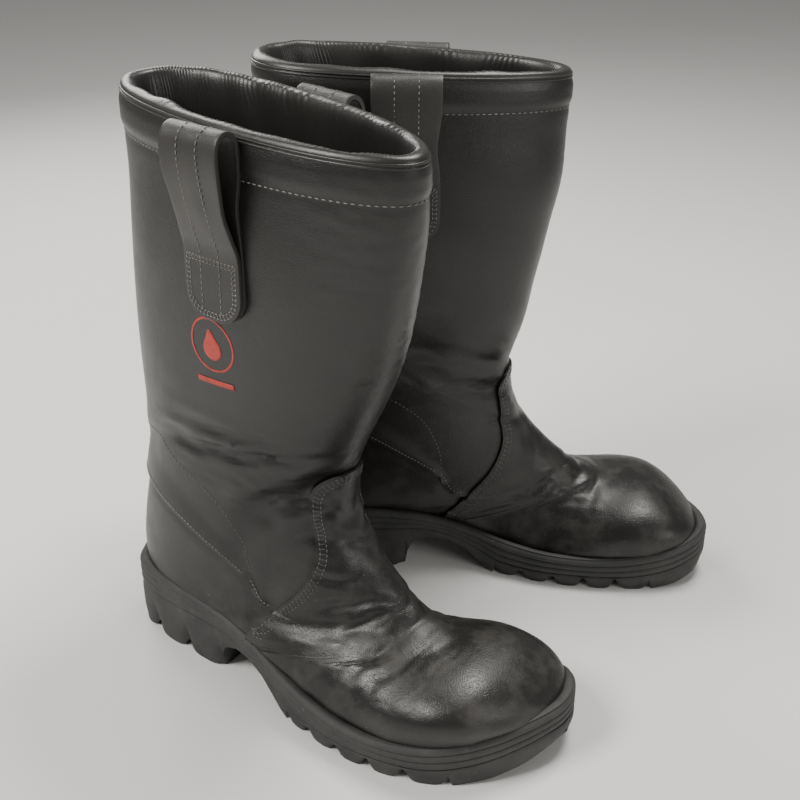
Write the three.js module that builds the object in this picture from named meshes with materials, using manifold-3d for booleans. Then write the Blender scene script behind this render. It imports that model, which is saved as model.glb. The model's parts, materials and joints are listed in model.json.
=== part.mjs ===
// A pair of leather firefighter pull-on boots, in millimetres, +Z up, standing on z = 0.
//
// Each boot is drawn in its own frame: x forward from the back of the heel, y to the outside
// of the leg, z up. Its body is a tube of rings. A ring runs from the front or top line of
// the boot to its back or bottom line, so the rings turn from level at the rim to upright at
// the toe. Every layer, from the leather to the lining, is the same tube at another depth.
import * as THREE from "three";
import { mergeVertices } from "three/addons/utils/BufferGeometryUtils.js";
import Module from "manifold-3d";

const wasm = await Module();
wasm.setup();

// ---- driving dimensions ----------------------------------------------------------------
const SOLE_LENGTH = 303; // heel to toe, over the outsole
const BALL_WIDTH = 116; // outsole width at the ball of the foot
const RIM_HEIGHT = 345; // floor to the top edge of the leg leather, at mid-leg
const GAP = 0.3; // clearance between two pieces that touch
const LEATHER = 2.3; // upper leather thickness
const STIFFENER = 1.8; // toe cap and heel counter thickness
const LINING = 3.4; // lining thickness where nothing is pocketed in it
const LINING_FLOOR = 1.3; // lining thickness under the foot
const BOARD = 2.0; // insole board thickness
const FOOTBED = 5.0; // footbed thickness
const PLATE = 0.8; // puncture-resistant plate thickness
const PLATE_INSET = 15; // from the outsole's edge to the edge of the plate
const SHANK = { thickness: 1.2, width: 18, from: 62, to: 158 };
const TOE_CAP_LENGTH = 52; // back from the toe
const COUNTER_LENGTH = 66; // forward from the back of the heel
const COUNTER_TOP = 104; // height of the counter at the back of the heel
const COLLAR_HEIGHT = 40; // depth of the padded band inside the rim
const COLLAR_FOAM = 4.2; // foam thickness
const FACING = 1.5; // collar facing thickness
const FACING_ROLL = 3.6; // height of the facing's roll over the rim
const STRAP_WIDTH = 41; // pull strap
const STRAP_PLY = 2.6; // pull strap thickness, one ply
const LOOP_HEIGHT = 66; // from the tab's top stitches to the fold
const LOOP_GAP = 12; // widest opening between the two plies
const TAB_HEIGHT = 34; // sewn end of the strap
const TAB_TOP_BELOW_RIM = 61; // from the rim down to the top of the tab
const LUG_DEPTH = 4.5; // depth of the tread grooves
const LUG_GROOVE = 6; // width of the tread grooves
const FLOOR_OF_SOLE = 9; // outsole thickness at the ball of the foot

// Where the boots stand: the left one points along +X, the right one is turned out from it.
const RIGHT_HEEL = { x: -75, y: -74 };
const RIGHT_TURN = -30; // degrees

// ---- the form --------------------------------------------------------------------------
// The lines of the last at its drawn size, which the overall sizes then stretch.
const FORM = { length: 303, width: 116, rim: 345, ankle: 130 };

// Rings from the rim to the toe: the top or front line (tx, tz), the back or bottom line
// (qx, qz), the half widths to the outside and inside, the shift of the middle, where the
// widest point lies between the two lines (belly), and the roundness of each half.
const RINGS = [
  // tx, tz, qx, qz, out, in, shift, belly, frontRound, backRound
  [189, 341, 2, 349, 45, 45, 0, 0.36, 2.0, 2.4],
  [188, 301, 7, 303, 47, 47, 0, 0.38, 2.1, 2.4],
  [182, 250, 12, 250, 49, 49, 0, 0.42, 2.1, 2.4],
  [172, 200, 16, 195, 48, 48, 0, 0.45, 2.1, 2.4],
  [161, 156, 18, 146, 44, 43, 0, 0.45, 2.1, 2.4],
  [161, 128, 16, 112, 41, 40, 0, 0.43, 2.1, 2.4],
  [171, 107, 11, 86, 40, 39, 0, 0.4, 2.0, 2.5],
  [187, 89, 7, 64, 39, 38, 0, 0.37, 2.0, 2.6],
  [203, 75, 10, 45, 39, 37, 0, 0.35, 2.0, 2.8],
  [214, 67, 26, 38, 39, 35, 1, 0.34, 2.0, 3.2],
  [224, 63, 70, 38, 40, 33, 2, 0.35, 2.1, 3.8],
  [234, 60, 115, 31, 44, 32, 3, 0.36, 2.2, 4.2],
  [245, 60, 155, 20, 51, 38, 2, 0.37, 2.3, 4.5],
  [257, 59.5, 195, 15, 57, 48, 0, 0.38, 2.4, 4.5],
  [269, 56.5, 230, 16, 55, 50, -1, 0.38, 2.5, 4.3],
  [281, 50, 258, 19, 46, 46, -4, 0.38, 2.5, 3.8],
  [292, 41, 280, 23, 29, 32, -9, 0.42, 2.4, 3.2],
  [299, 31, 297, 28, 8, 9, -13, 0.5, 2.0, 2.0],
];
const TOE_BASE = 15; // the ring where the toe starts to close
const LAST_RING = RINGS.length - 1;
const RING_STEPS = [
  0, 1, 2, 3, 4, 4.8, 5.6, 6.4, 7.2, 7.9, 8.5, 9.2, 10.2, 11.4, 12.6, 13.7, 14.7, 15.5, 16.3, 17,
];
const AROUND = 16; // points round a ring
const SLOPE_STEP = 0.25; // how far along the rings a line's slope is read

// How the leg of each boot stands: the rim pushed forward, its back moved, the leg narrowed
// and the rim turned outwards, all fading to nothing at the ankle.
const LEFT_STANCE = { forward: 0, back: -8, narrow: 0, turn: 0, belly: -0.04 };
const RIGHT_STANCE = { forward: 42, back: 6, narrow: 5, turn: 12, belly: 0.08 };
const STANCE_FADE = [1, 0.88, 0.66, 0.42, 0.18, 0.05];
const LEG_MIDDLE = 100; // the leg turns about this x

// The outsole seen from above, heel round the outside to the toe and back inside.
const OUTLINE = [
  [0, 0], [7, 23], [20, 34], [45, 39.5], [80, 42], [110, 45], [145, 53], [180, 60],
  [210, 61.5], [240, 56], [262, 46], [280, 31], [293, 14], [301, -4], [303, -16], [301, -28],
  [292, -42], [275, -50.5], [250, -54], [220, -54.5], [190, -51], [165, -44], [140, -37],
  [110, -35], [80, -38], [45, -39], [20, -32], [6, -21],
];

// Side view lines, as [x, z].
const TOP_OF_SOLE = [
  [-20, 50], [20, 49], [60, 47], [90, 44], [120, 37], [150, 28], [180, 23.5], [215, 22.5],
  [240, 24], [262, 28], [282, 33], [296, 37], [330, 40],
];
const PARTING_OF_SOLE = [
  [-20, 31], [70, 31], [95, 31], [112, 29], [130, 23], [148, 14], [165, FLOOR_OF_SOLE],
  [215, FLOOR_OF_SOLE], [250, 10], [275, 15], [300, 23], [330, 26],
];
const BOTTOM_OF_UPPER = [
  [-20, 38], [26, 38], [70, 38], [115, 31], [155, 20], [195, 15], [230, 16], [258, 19],
  [280, 23], [297, 28], [330, 32],
];
const HEEL_BREAST = [[91, 0], [92.5, 13], [96, 19.5], [106, 23.5], [118, 22.5], [131, 17.5]];
const ARCH_END = [[141, 9], [147, 3.5], [153, 0]];
const TOE_SPRING = [[262, 0], [280, 3], [293, 8], [302, 14], [330, 20]];
const HEEL_GROOVES = [30, 60];
const BALL_GROOVES = [172, 194, 216, 238];
// The back edge of the vamp, from the shin down to the sole, and the top edge of the heel
// quarter, from the back of the leg to the vamp.
const VAMP_EDGE = [
  [186, 158], [172, 153], [158, 146], [152, 132], [154, 112], [156, 96], [149, 78],
  [134, 60], [120, 43], [108, 24], [102, 0],
];
const QUARTER_EDGE = [
  [-20, 119], [30, 118], [50, 112], [70, 103], [90, 91], [112, 77], [150, 56], [400, 50],
];

// ---- stretching the form ---------------------------------------------------------------
const alongX = (x) => (x * SOLE_LENGTH) / FORM.length;
const alongY = (y) => (y * BALL_WIDTH) / FORM.width;
const LEG_STRETCH = (RIM_HEIGHT - FORM.ankle) / (FORM.rim - FORM.ankle);
const alongZ = (z) => (z < FORM.ankle ? z : FORM.ankle + (z - FORM.ankle) * LEG_STRETCH);
const profile = (points, lift = 0) => points.map(([x, z]) => [alongX(x), alongZ(z) + lift]);

const lerp = (a, b, t) => a + (b - a) * t;

// ---- the ring surface ------------------------------------------------------------------
function smoothRow(rows, s) {
  const i = Math.min(Math.floor(s), rows.length - 2);
  const u = s - i;
  const row = (j) => rows[j];
  return row(i).map((p1, c) => {
    const p2 = row(i + 1)[c];
    const p0 = i > 0 ? row(i - 1)[c] : 2 * p1 - p2;
    const p3 = i + 2 < rows.length ? row(i + 2)[c] : 2 * p2 - p1;
    const a = 2 * p1;
    const b = p2 - p0;
    const d = 2 * p0 - 5 * p1 + 4 * p2 - p3;
    const e = 3 * p1 - p0 - 3 * p2 + p3;
    return 0.5 * (a + b * u + d * u * u + e * u * u * u);
  });
}

class BootForm {
  constructor(stance) {
    this.stance = stance;
    this.rows = RINGS.map(([tx, tz, qx, qz, out, inn, shift, belly, front, back], i) => {
      const f = STANCE_FADE[i] ?? 0;
      return [
        alongX(tx) + stance.forward * f,
        alongZ(tz),
        alongX(qx) + stance.back * f,
        alongZ(qz),
        alongY(out) - stance.narrow * f,
        alongY(inn) - stance.narrow * f,
        alongY(shift),
        belly + stance.belly * f,
        front,
        back,
        THREE.MathUtils.degToRad(stance.turn * f),
      ];
    });
  }

  // The middle plane of ring s at a depth: its top point, bottom point and widest point.
  // The top line moves in along its own normal, and so does the bottom line.
  spine(s, depth) {
    const row = smoothRow(this.rows, s);
    const a = smoothRow(this.rows, Math.max(0, s - SLOPE_STEP));
    const b = smoothRow(this.rows, Math.min(LAST_RING, s + SLOPE_STEP));
    const inward = (i, turn) => {
      const [dx, dz] = [b[i] - a[i], b[i + 1] - a[i + 1]];
      const length = Math.hypot(dx, dz) / depth || 1;
      return [row[i] + (turn * dz) / length, row[i + 1] - (turn * dx) / length];
    };
    const top = depth === 0 ? [row[0], row[1]] : inward(0, 1);
    const bottom = depth === 0 ? [row[2], row[3]] : inward(2, -1);
    return { top, bottom, middle: [lerp(bottom[0], top[0], row[7]), lerp(bottom[1], top[1], row[7])] };
  }

  // A point of the layer that lies `depth` under the leather's outer face. Ring s counts
  // from the rim, and angle runs from the front or top (0) over the outside (quarter turn).
  // Past TOE_BASE each layer is the outer one shrunk, so that all of them close at the tip.
  point(s, angle, depth) {
    const row = smoothRow(this.rows, s);
    const [, , , , out, inn, shift, , front, back, turn] = row;
    const base = Math.min(s, TOE_BASE);
    const baseRow = smoothRow(this.rows, base);
    const [inner, outer] = [this.spine(base, depth), this.spine(base, 0)];
    const reach = (spine, side) => Math.hypot(spine[side][0] - spine.middle[0], spine[side][1] - spine.middle[1]);
    const closing = Math.max(0, s - TOE_BASE) / (LAST_RING - TOE_BASE);
    const here = s > TOE_BASE ? this.spine(s, 0) : inner;
    const [c, q] = [Math.cos(angle), Math.sin(angle)];
    const power = 2 / (c >= 0 ? front : back);
    const along = Math.abs(c) ** power;
    const across = Math.sign(q) * Math.abs(q) ** power;
    const end = c >= 0 ? "top" : "bottom";
    const keep = s > TOE_BASE ? reach(inner, end) / reach(outer, end) : 1;
    const drift = [inner.middle[0] - outer.middle[0], inner.middle[1] - outer.middle[1]];
    const slide = s > TOE_BASE ? drift.map((v) => v * (1 - closing)) : [0, 0];
    const half = across >= 0 ? out * (1 - depth / baseRow[4]) : inn * (1 - depth / baseRow[5]);
    const x = here.middle[0] + (here[end][0] - here.middle[0]) * along * keep + slide[0] - closing * depth;
    const z = here.middle[1] + (here[end][1] - here.middle[1]) * along * keep + slide[1];
    const y = shift + across * half;
    const m = alongX(LEG_MIDDLE);
    return new THREE.Vector3(
      m + (x - m) * Math.cos(turn) - y * Math.sin(turn), (x - m) * Math.sin(turn) + y * Math.cos(turn), z,
    );
  }

  // The point of the leather's outer face at a place along the leg and a height, on one side.
  onSide(x, z, side) {
    const halve = (low, high, isHigh) => {
      for (let i = 0; i < 40; i++) {
        const mid = (low + high) / 2;
        if (isHigh(mid)) high = mid;
        else low = mid;
      }
      return (low + high) / 2;
    };
    const angleAt = (s) => halve(0, Math.PI, (a) => this.point(s, a * side, 0).x < x);
    const s = halve(0, 5, (t) => this.point(t, angleAt(t) * side, 0).z < z);
    return this.point(s, angleAt(s) * side, 0);
  }

  ring(s, depth, rise = 0) {
    return Array.from({ length: AROUND }, (_, j) => {
      const p = this.point(s, (2 * Math.PI * (j + 0.5)) / AROUND, depth);
      p.z += rise;
      return p;
    });
  }

  // The solid inside one layer, from ring `from` to the toe. A positive rise adds a ring
  // above the first one, so that the solid cuts clean through the rim.
  core(depth, from = 0, rise = 0) {
    const steps = [from, ...RING_STEPS.filter((s) => s > from + 0.2)];
    const rings = steps.map((s) => this.ring(s, depth));
    if (rise > 0) rings.unshift(this.ring(from, depth, rise));
    return solidFromRings(rings, false);
  }

  // A closed band round the leg, from a section of [depth, distance below the rim] points.
  band(section) {
    const rings = section.map(([depth, below]) =>
      this.ring(Math.max(0, below) / COLLAR_HEIGHT, depth, Math.max(0, -below)),
    );
    const climbs = section.map(([, below], i) => section[(i + 1) % section.length][1] < below);
    return solidFromRings(rings, true, climbs);
  }
}

// ---- solids ----------------------------------------------------------------------------
function toSolid(geometry) {
  const bare = new THREE.BufferGeometry().setAttribute("position", geometry.getAttribute("position"));
  if (geometry.index) bare.setIndex(geometry.index);
  const merged = mergeVertices(bare, 1e-4);
  return new wasm.Manifold(
    new wasm.Mesh({
      numProp: 3,
      vertProperties: new Float32Array(merged.attributes.position.array),
      triVerts: new Uint32Array(merged.index.array),
    }),
  );
}

function toGeometry(solid) {
  const mesh = solid.getMesh();
  const geometry = new THREE.BufferGeometry();
  geometry.setAttribute("position", new THREE.BufferAttribute(mesh.vertProperties, 3));
  geometry.setIndex(new THREE.BufferAttribute(mesh.triVerts, 1));
  geometry.computeVertexNormals();
  return geometry;
}

// Rings of equal count joined into a closed skin: a tube with two ends, or a torus. A strip
// that climbs is split along its other diagonal, so that facing layers split alike.
function solidFromRings(rings, closedLoop, climbs = []) {
  const count = rings[0].length;
  const points = rings.flat();
  const faces = [];
  const quad = (a, b, c, d) => faces.push(a, b, c, a, c, d);
  const last = closedLoop ? rings.length : rings.length - 1;
  for (let i = 0; i < last; i++) {
    const next = (i + 1) % rings.length;
    for (let j = 0; j < count; j++) {
      const k = (j + 1) % count;
      const corners = [i * count + j, next * count + j, next * count + k, i * count + k];
      if (climbs[i]) corners.push(corners.shift());
      quad(...corners);
    }
  }
  if (!closedLoop) {
    for (const [row, inwards] of [[0, true], [rings.length - 1, false]]) {
      const middle = new THREE.Vector3();
      rings[row].forEach((p) => middle.addScaledVector(p, 1 / count));
      points.push(middle);
      for (let j = 0; j < count; j++) {
        const [a, b] = [row * count + j, row * count + ((j + 1) % count)];
        faces.push(...(inwards ? [points.length - 1, a, b] : [points.length - 1, b, a]));
      }
    }
  }
  const geometry = new THREE.BufferGeometry().setFromPoints(points);
  geometry.setIndex(faces);
  const solid = toSolid(geometry);
  return solid.volume() < 0 ? toSolid(turnInsideOut(geometry)) : solid;
}

function turnInsideOut(geometry) {
  const index = geometry.index.array;
  for (let i = 0; i < index.length; i += 3) [index[i + 1], index[i + 2]] = [index[i + 2], index[i + 1]];
  return geometry;
}

function extruded(points, depth, curveSegments = 1) {
  const outline = (corners) => new THREE.Shape(corners.map(([a, b]) => new THREE.Vector2(a, b)));
  const shape = points instanceof THREE.Shape ? points : outline(points);
  return new THREE.ExtrudeGeometry(shape, { depth, bevelEnabled: false, curveSegments });
}

const SIDE_REACH = 110; // half length of the cutters that run across a boot
const TALL = 500; // height that clears the rim

// A side view outline pulled across the whole boot.
function across(points) {
  const geometry = extruded(points, 2 * SIDE_REACH);
  geometry.rotateX(Math.PI / 2).translate(0, SIDE_REACH, 0);
  return toSolid(geometry);
}

const below = (line) => across([...line, [line.at(-1)[0], -60], [line[0][0], -60]]);
const above = (line) => across([...line, [line.at(-1)[0], TALL], [line[0][0], TALL]]);

// The sole's outline pulled upwards, moved in by `inset`.
function soleColumn(inset) {
  const curve = new THREE.CatmullRomCurve3(
    OUTLINE.map(([x, y]) => new THREE.Vector3(alongX(x), alongY(y), 0)), true, "centripetal",
  );
  const count = 44;
  const points = Array.from({ length: count }, (_, i) => {
    const p = curve.getPointAt(i / count);
    const t = curve.getTangentAt(i / count);
    return [p.x + t.y * inset, p.y - t.x * inset];
  });
  return toSolid(extruded(points, 80).translate(0, 0, -10));
}

// A line moved sideways by `by`, to the left of its direction.
function moved(line, by) {
  return line.map((p, i) => {
    const [a, b] = [line[Math.max(0, i - 1)], line[Math.min(line.length - 1, i + 1)]];
    const length = Math.hypot(b[0] - a[0], b[1] - a[1]);
    return [p[0] - ((b[1] - a[1]) / length) * by, p[1] + ((b[0] - a[0]) / length) * by];
  });
}

// ---- materials -------------------------------------------------------------------------
const finish = (color, roughness, metalness = 0) => new THREE.MeshStandardMaterial({ color, roughness, metalness });
const BLACK_LEATHER = finish(0x24241f, 0.42);
const FACING_LEATHER = finish(0x1c1c19, 0.5);
const LINING_CLOTH = finish(0x2b2a28, 0.9);
const RUBBER = finish(0x232322, 0.75);
const MIDSOLE_FOAM = finish(0x2c2c2a, 0.8);
const STEEL = finish(0x8d9094, 0.35, 1);
const BOARD_FIBRE = finish(0x8a7a62, 0.85);
const FOAM = finish(0x55544f, 0.95);
const STRAP_LEATHER = finish(0x2a2a26, 0.5);

// ---- the boot --------------------------------------------------------------------------
const BOTTOM = profile(BOTTOM_OF_UPPER);
const raised = (height) => BOTTOM.map(([x, z]) => [x, z + height]);
const BOARD_BASE = LEATHER + GAP;
const BOARD_TOP = BOARD_BASE + BOARD;
const LINING_BASE = BOARD_TOP + GAP;
const FOOTBED_BASE = LINING_BASE + LINING_FLOOR + GAP;
const FOOTBED_TOP = FOOTBED_BASE + FOOTBED;
const STIFFENER_DEPTH = LEATHER + GAP;
const LINING_INSIDE = LEATHER + GAP + LINING;

// The tread side of the outsole, with the heel step, the arch, the toe spring and grooves.
function treadLine() {
  const groove = (x) => {
    const [half, slope] = [LUG_GROOVE / 2, 1];
    return [[x - half - slope, 0], [x - half, LUG_DEPTH], [x + half, LUG_DEPTH], [x + half + slope, 0]];
  };
  return [
    [-20, 0],
    ...HEEL_GROOVES.flatMap((x) => groove(alongX(x))),
    ...profile(HEEL_BREAST),
    ...profile(ARCH_END),
    ...BALL_GROOVES.flatMap((x) => groove(alongX(x))),
    ...profile(TOE_SPRING),
  ];
}

function soleSolids(form) {
  const column = soleColumn(0);
  const parting = profile(PARTING_OF_SOLE);
  const outsole = column.intersect(across([...treadLine(), ...parting.slice().reverse()]));
  const cup = [...profile(PARTING_OF_SOLE, GAP), ...profile(TOP_OF_SOLE).reverse()];
  const midsole = column.intersect(across(cup)).subtract(form.core(-GAP, 3));
  return { outsole, midsole };
}

function upperSolids(form) {
  const window = soleColumn(PLATE_INSET);
  const floorZone = below(raised(BOARD_TOP));
  const skin = form.core(0).subtract(form.core(LEATHER, 0, 20)).subtract(window.intersect(floorZone));
  const vampLine = profile(VAMP_EDGE);
  const quarterLine = profile(QUARTER_EDGE);
  const front = (line) => across([...line, [400, line.at(-1)[1]], [400, line[0][1]]]);
  const vamp = skin.intersect(front(moved(vampLine, GAP / 2)));
  const rear = skin.subtract(front(moved(vampLine, -GAP / 2)));
  const heel_quarter = rear.intersect(below(moved(quarterLine, -GAP / 2)));
  const shaft = rear.intersect(above(moved(quarterLine, GAP / 2)));
  return { vamp, heel_quarter, shaft };
}

function stiffenerSolids(form) {
  const layer = (outer, inner) => form.core(outer).subtract(form.core(inner));
  const capLine = (slack) => {
    const back = alongX(FORM.length) - TOE_CAP_LENGTH - slack;
    return across([[back + 6, -20], [400, -20], [400, 120], [back, 120]]);
  };
  const counterLine = (slack) => {
    const [x, z] = [COUNTER_LENGTH + slack, COUNTER_TOP + slack];
    return across([[-40, -20], [x + 10, -20], [x + 10, 50], [x - 22, z - 10], [-40, z]]);
  };
  const onBoard = above(raised(LINING_BASE));
  const piece = layer(STIFFENER_DEPTH, STIFFENER_DEPTH + STIFFENER).intersect(onBoard);
  const pocket = layer(0, STIFFENER_DEPTH + STIFFENER + GAP);
  return {
    toe_cap: piece.intersect(capLine(0)),
    heel_counter: piece.intersect(counterLine(0)),
    pockets: pocket.intersect(capLine(GAP)).add(pocket.intersect(counterLine(GAP))),
  };
}

function insideSolids(form, pockets) {
  const inLeather = form.core(LEATHER + GAP, 1);
  const inLining = (slack, rise) => form.core(LINING_INSIDE + slack, 1, rise);
  const floorZone = below(raised(BOARD_TOP));
  const underBoard = (from, to) =>
    form.core(from).subtract(form.core(to)).intersect(soleColumn(PLATE_INSET + GAP)).intersect(floorZone);
  const strip = across([
    [alongX(SHANK.from), -20], [alongX(SHANK.to), -20], [alongX(SHANK.to), 120], [alongX(SHANK.from), 120],
  ]);
  const half = SHANK.width / 2;
  const strap = extruded([[0, -half], [SOLE_LENGTH, -half], [SOLE_LENGTH, half], [0, half]], 120);
  return {
    insole_board: inLeather.intersect(below(raised(BOARD_TOP))),
    sole_plate: underBoard(0, PLATE),
    shank: underBoard(PLATE + GAP, PLATE + GAP + SHANK.thickness).intersect(strip).intersect(toSolid(strap)),
    lining: inLeather
      .intersect(above(raised(LINING_BASE)))
      .subtract(inLining(0, 30).intersect(above(raised(LINING_BASE + LINING_FLOOR))))
      .subtract(pockets),
    footbed: inLining(GAP, 0)
      .intersect(above(raised(FOOTBED_BASE)))
      .intersect(below(raised(FOOTBED_TOP))),
  };
}

function collarSolids(form) {
  const foamIn = LEATHER + GAP;
  const foamOut = foamIn + COLLAR_FOAM;
  const faceIn = foamOut + GAP;
  const faceOut = faceIn + FACING;
  const foot = COLLAR_HEIGHT - GAP;
  return {
    collar_padding: form.band([[foamIn, 0], [foamOut, 0], [foamOut, foot], [foamIn, foot]]),
    collar_facing: form.band([
      [0.2, -GAP], [0.2, -FACING_ROLL * 0.6], [2, -FACING_ROLL], [faceOut - 2, -FACING_ROLL],
      [faceOut, -FACING_ROLL * 0.5], [faceOut, foot], [faceIn, foot], [faceIn, -GAP],
    ]),
  };
}

// ---- pull loops ------------------------------------------------------------------------
// A frame on the side of the leg: x along the strap's width, y away from the leg, z up it.
// It stands over the middle of the rim, at the top of the sewn tab.
function legFrame(form, side) {
  const x = (form.rows[0][0] + form.rows[0][2]) / 2;
  const height = RIM_HEIGHT - TAB_TOP_BELOW_RIM;
  const at = (dx, dz) => form.onSide(x + dx, height + dz, side);
  const up = at(0, LOOP_HEIGHT * 0.6).sub(at(0, -TAB_HEIGHT)).normalize();
  const wide = at(STRAP_WIDTH / 2, 0).sub(at(-STRAP_WIDTH / 2, 0));
  const out = new THREE.Vector3().crossVectors(up, wide).normalize();
  if (out.y * side < 0) out.negate();
  wide.crossVectors(out, up).normalize();
  return new THREE.Matrix4().makeBasis(wide, out, up).setPosition(at(0, 0));
}

// The tab's outline: square on top, round below.
function tabShape() {
  const [half, round] = [STRAP_WIDTH / 2, 15];
  return new THREE.Shape()
    .moveTo(-half, 0)
    .lineTo(-half, -TAB_HEIGHT + round)
    .absarc(-half + round, -TAB_HEIGHT + round, round, Math.PI, 1.5 * Math.PI)
    .absarc(half - round, -TAB_HEIGHT + round, round, 1.5 * Math.PI, 2 * Math.PI)
    .lineTo(half, 0);
}

// The folded strap's section: a round foot at the fold line, two plies and the top fold.
function loopShape() {
  const foot = STRAP_PLY + GAP / 2; // two plies lie together at the stitches
  const fold = LOOP_GAP / 2 + STRAP_PLY;
  const high = LOOP_HEIGHT - fold;
  const wide = fold * 2;
  const shape = new THREE.Shape()
    .absarc(foot, 0, foot, Math.PI, 2 * Math.PI)
    .bezierCurveTo(foot * 2 + 1, high * 0.35, wide, high * 0.6, wide, high)
    .absarc(fold, high, fold, 0, Math.PI)
    .lineTo(0, 0);
  const inner = new THREE.Path()
    .moveTo(foot + 0.2, foot + 3)
    .bezierCurveTo(foot + 2, high * 0.4, wide - STRAP_PLY, high * 0.62, wide - STRAP_PLY, high)
    .absarc(fold, high, LOOP_GAP / 2, 0, Math.PI)
    .lineTo(STRAP_PLY, foot + 3);
  shape.holes.push(inner);
  return shape;
}

function loopPieces(form, side) {
  const frame = legFrame(form, side);
  const drop = STRAP_PLY + GAP * 1.5; // the tab starts under the loop's round foot
  const tab = extruded(tabShape(), 2 * STRAP_PLY, 5).rotateX(Math.PI / 2);
  tab.translate(0, 2 * STRAP_PLY + GAP, -drop);
  const loop = extruded(loopShape(), STRAP_WIDTH, 6);
  loop.translate(0, 0, -STRAP_WIDTH / 2).applyMatrix4(
    new THREE.Matrix4().makeBasis(
      new THREE.Vector3(0, 1, 0), new THREE.Vector3(0, 0, 1), new THREE.Vector3(1, 0, 0),
    ),
  );
  loop.translate(0, GAP, 0);
  return { tab: toSolid(tab.applyMatrix4(frame)), loop: toSolid(loop.applyMatrix4(frame)) };
}

// ---- assembly --------------------------------------------------------------------------
function boot(name, stance) {
  const form = new BootForm(stance);
  const { pockets, ...stiffeners } = stiffenerSolids(form);
  const outside = loopPieces(form, 1);
  const inside = loopPieces(form, -1);
  const pieces = {
    ...soleSolids(form), ...upperSolids(form), ...stiffeners, ...insideSolids(form, pockets),
    ...collarSolids(form),
    lateral_loop_tab: outside.tab, lateral_pull_loop: outside.loop,
    medial_loop_tab: inside.tab, medial_pull_loop: inside.loop,
  };
  const materials = {
    outsole: RUBBER, midsole: MIDSOLE_FOAM, vamp: BLACK_LEATHER, heel_quarter: BLACK_LEATHER,
    shaft: BLACK_LEATHER, toe_cap: STEEL, heel_counter: BOARD_FIBRE, insole_board: BOARD_FIBRE,
    sole_plate: STEEL, shank: STEEL, lining: LINING_CLOTH, footbed: FOAM, collar_padding: FOAM,
    collar_facing: FACING_LEATHER, lateral_loop_tab: STRAP_LEATHER, lateral_pull_loop: STRAP_LEATHER,
    medial_loop_tab: STRAP_LEATHER, medial_pull_loop: STRAP_LEATHER,
  };
  const group = new THREE.Group();
  for (const [piece, solid] of Object.entries(pieces)) {
    const mesh = new THREE.Mesh(toGeometry(solid), materials[piece]);
    mesh.name = `${name}_${piece}`;
    group.add(mesh);
  }
  return group;
}

const leftBoot = boot("left", LEFT_STANCE);
const rightBoot = boot("right", RIGHT_STANCE);
rightBoot.scale.y = -1; // the right boot is drawn as a left one and mirrored
rightBoot.rotation.z = THREE.MathUtils.degToRad(RIGHT_TURN);
rightBoot.position.set(RIGHT_HEEL.x, RIGHT_HEEL.y, 0);

const pair = new THREE.Group();
pair.add(leftBoot, rightBoot);
const middle = new THREE.Box3().setFromObject(pair, true).getCenter(new THREE.Vector3());
leftBoot.position.sub(new THREE.Vector3(middle.x, middle.y, 0));
rightBoot.position.sub(new THREE.Vector3(middle.x, middle.y, 0));

export default pair;
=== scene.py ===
import json
import logging
import math
from dataclasses import dataclass, field
from enum import Enum
from typing import Callable, Sequence

import bmesh
import bpy
import numpy as np
from mathutils import Matrix, Vector


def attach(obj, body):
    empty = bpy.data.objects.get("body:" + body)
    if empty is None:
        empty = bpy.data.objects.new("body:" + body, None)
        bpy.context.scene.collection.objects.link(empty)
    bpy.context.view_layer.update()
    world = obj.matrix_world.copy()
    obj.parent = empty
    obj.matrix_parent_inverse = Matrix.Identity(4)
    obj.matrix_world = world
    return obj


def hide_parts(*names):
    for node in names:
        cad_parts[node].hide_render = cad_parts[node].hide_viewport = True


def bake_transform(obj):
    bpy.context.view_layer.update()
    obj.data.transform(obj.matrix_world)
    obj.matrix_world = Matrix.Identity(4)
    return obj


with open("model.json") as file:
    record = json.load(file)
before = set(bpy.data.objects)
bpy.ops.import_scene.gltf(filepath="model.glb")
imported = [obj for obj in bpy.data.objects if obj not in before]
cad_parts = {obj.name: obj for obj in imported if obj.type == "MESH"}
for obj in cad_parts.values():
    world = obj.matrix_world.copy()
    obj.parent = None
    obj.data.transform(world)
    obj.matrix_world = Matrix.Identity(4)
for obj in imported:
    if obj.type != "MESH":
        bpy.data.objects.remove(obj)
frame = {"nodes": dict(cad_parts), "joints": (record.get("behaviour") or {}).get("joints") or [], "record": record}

logging.basicConfig(level=logging.INFO, format="%(message)s")
LOG = logging.getLogger("boots")
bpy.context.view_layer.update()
MM = 0.001
FULL_TURN = 2 * math.pi
Array = np.ndarray
Mesh = bmesh.types.BMesh
Piece = bpy.types.Object
Material = bpy.types.Material
Place = Callable[[Array, Array], Array]  # points for two arrays of numbers

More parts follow.
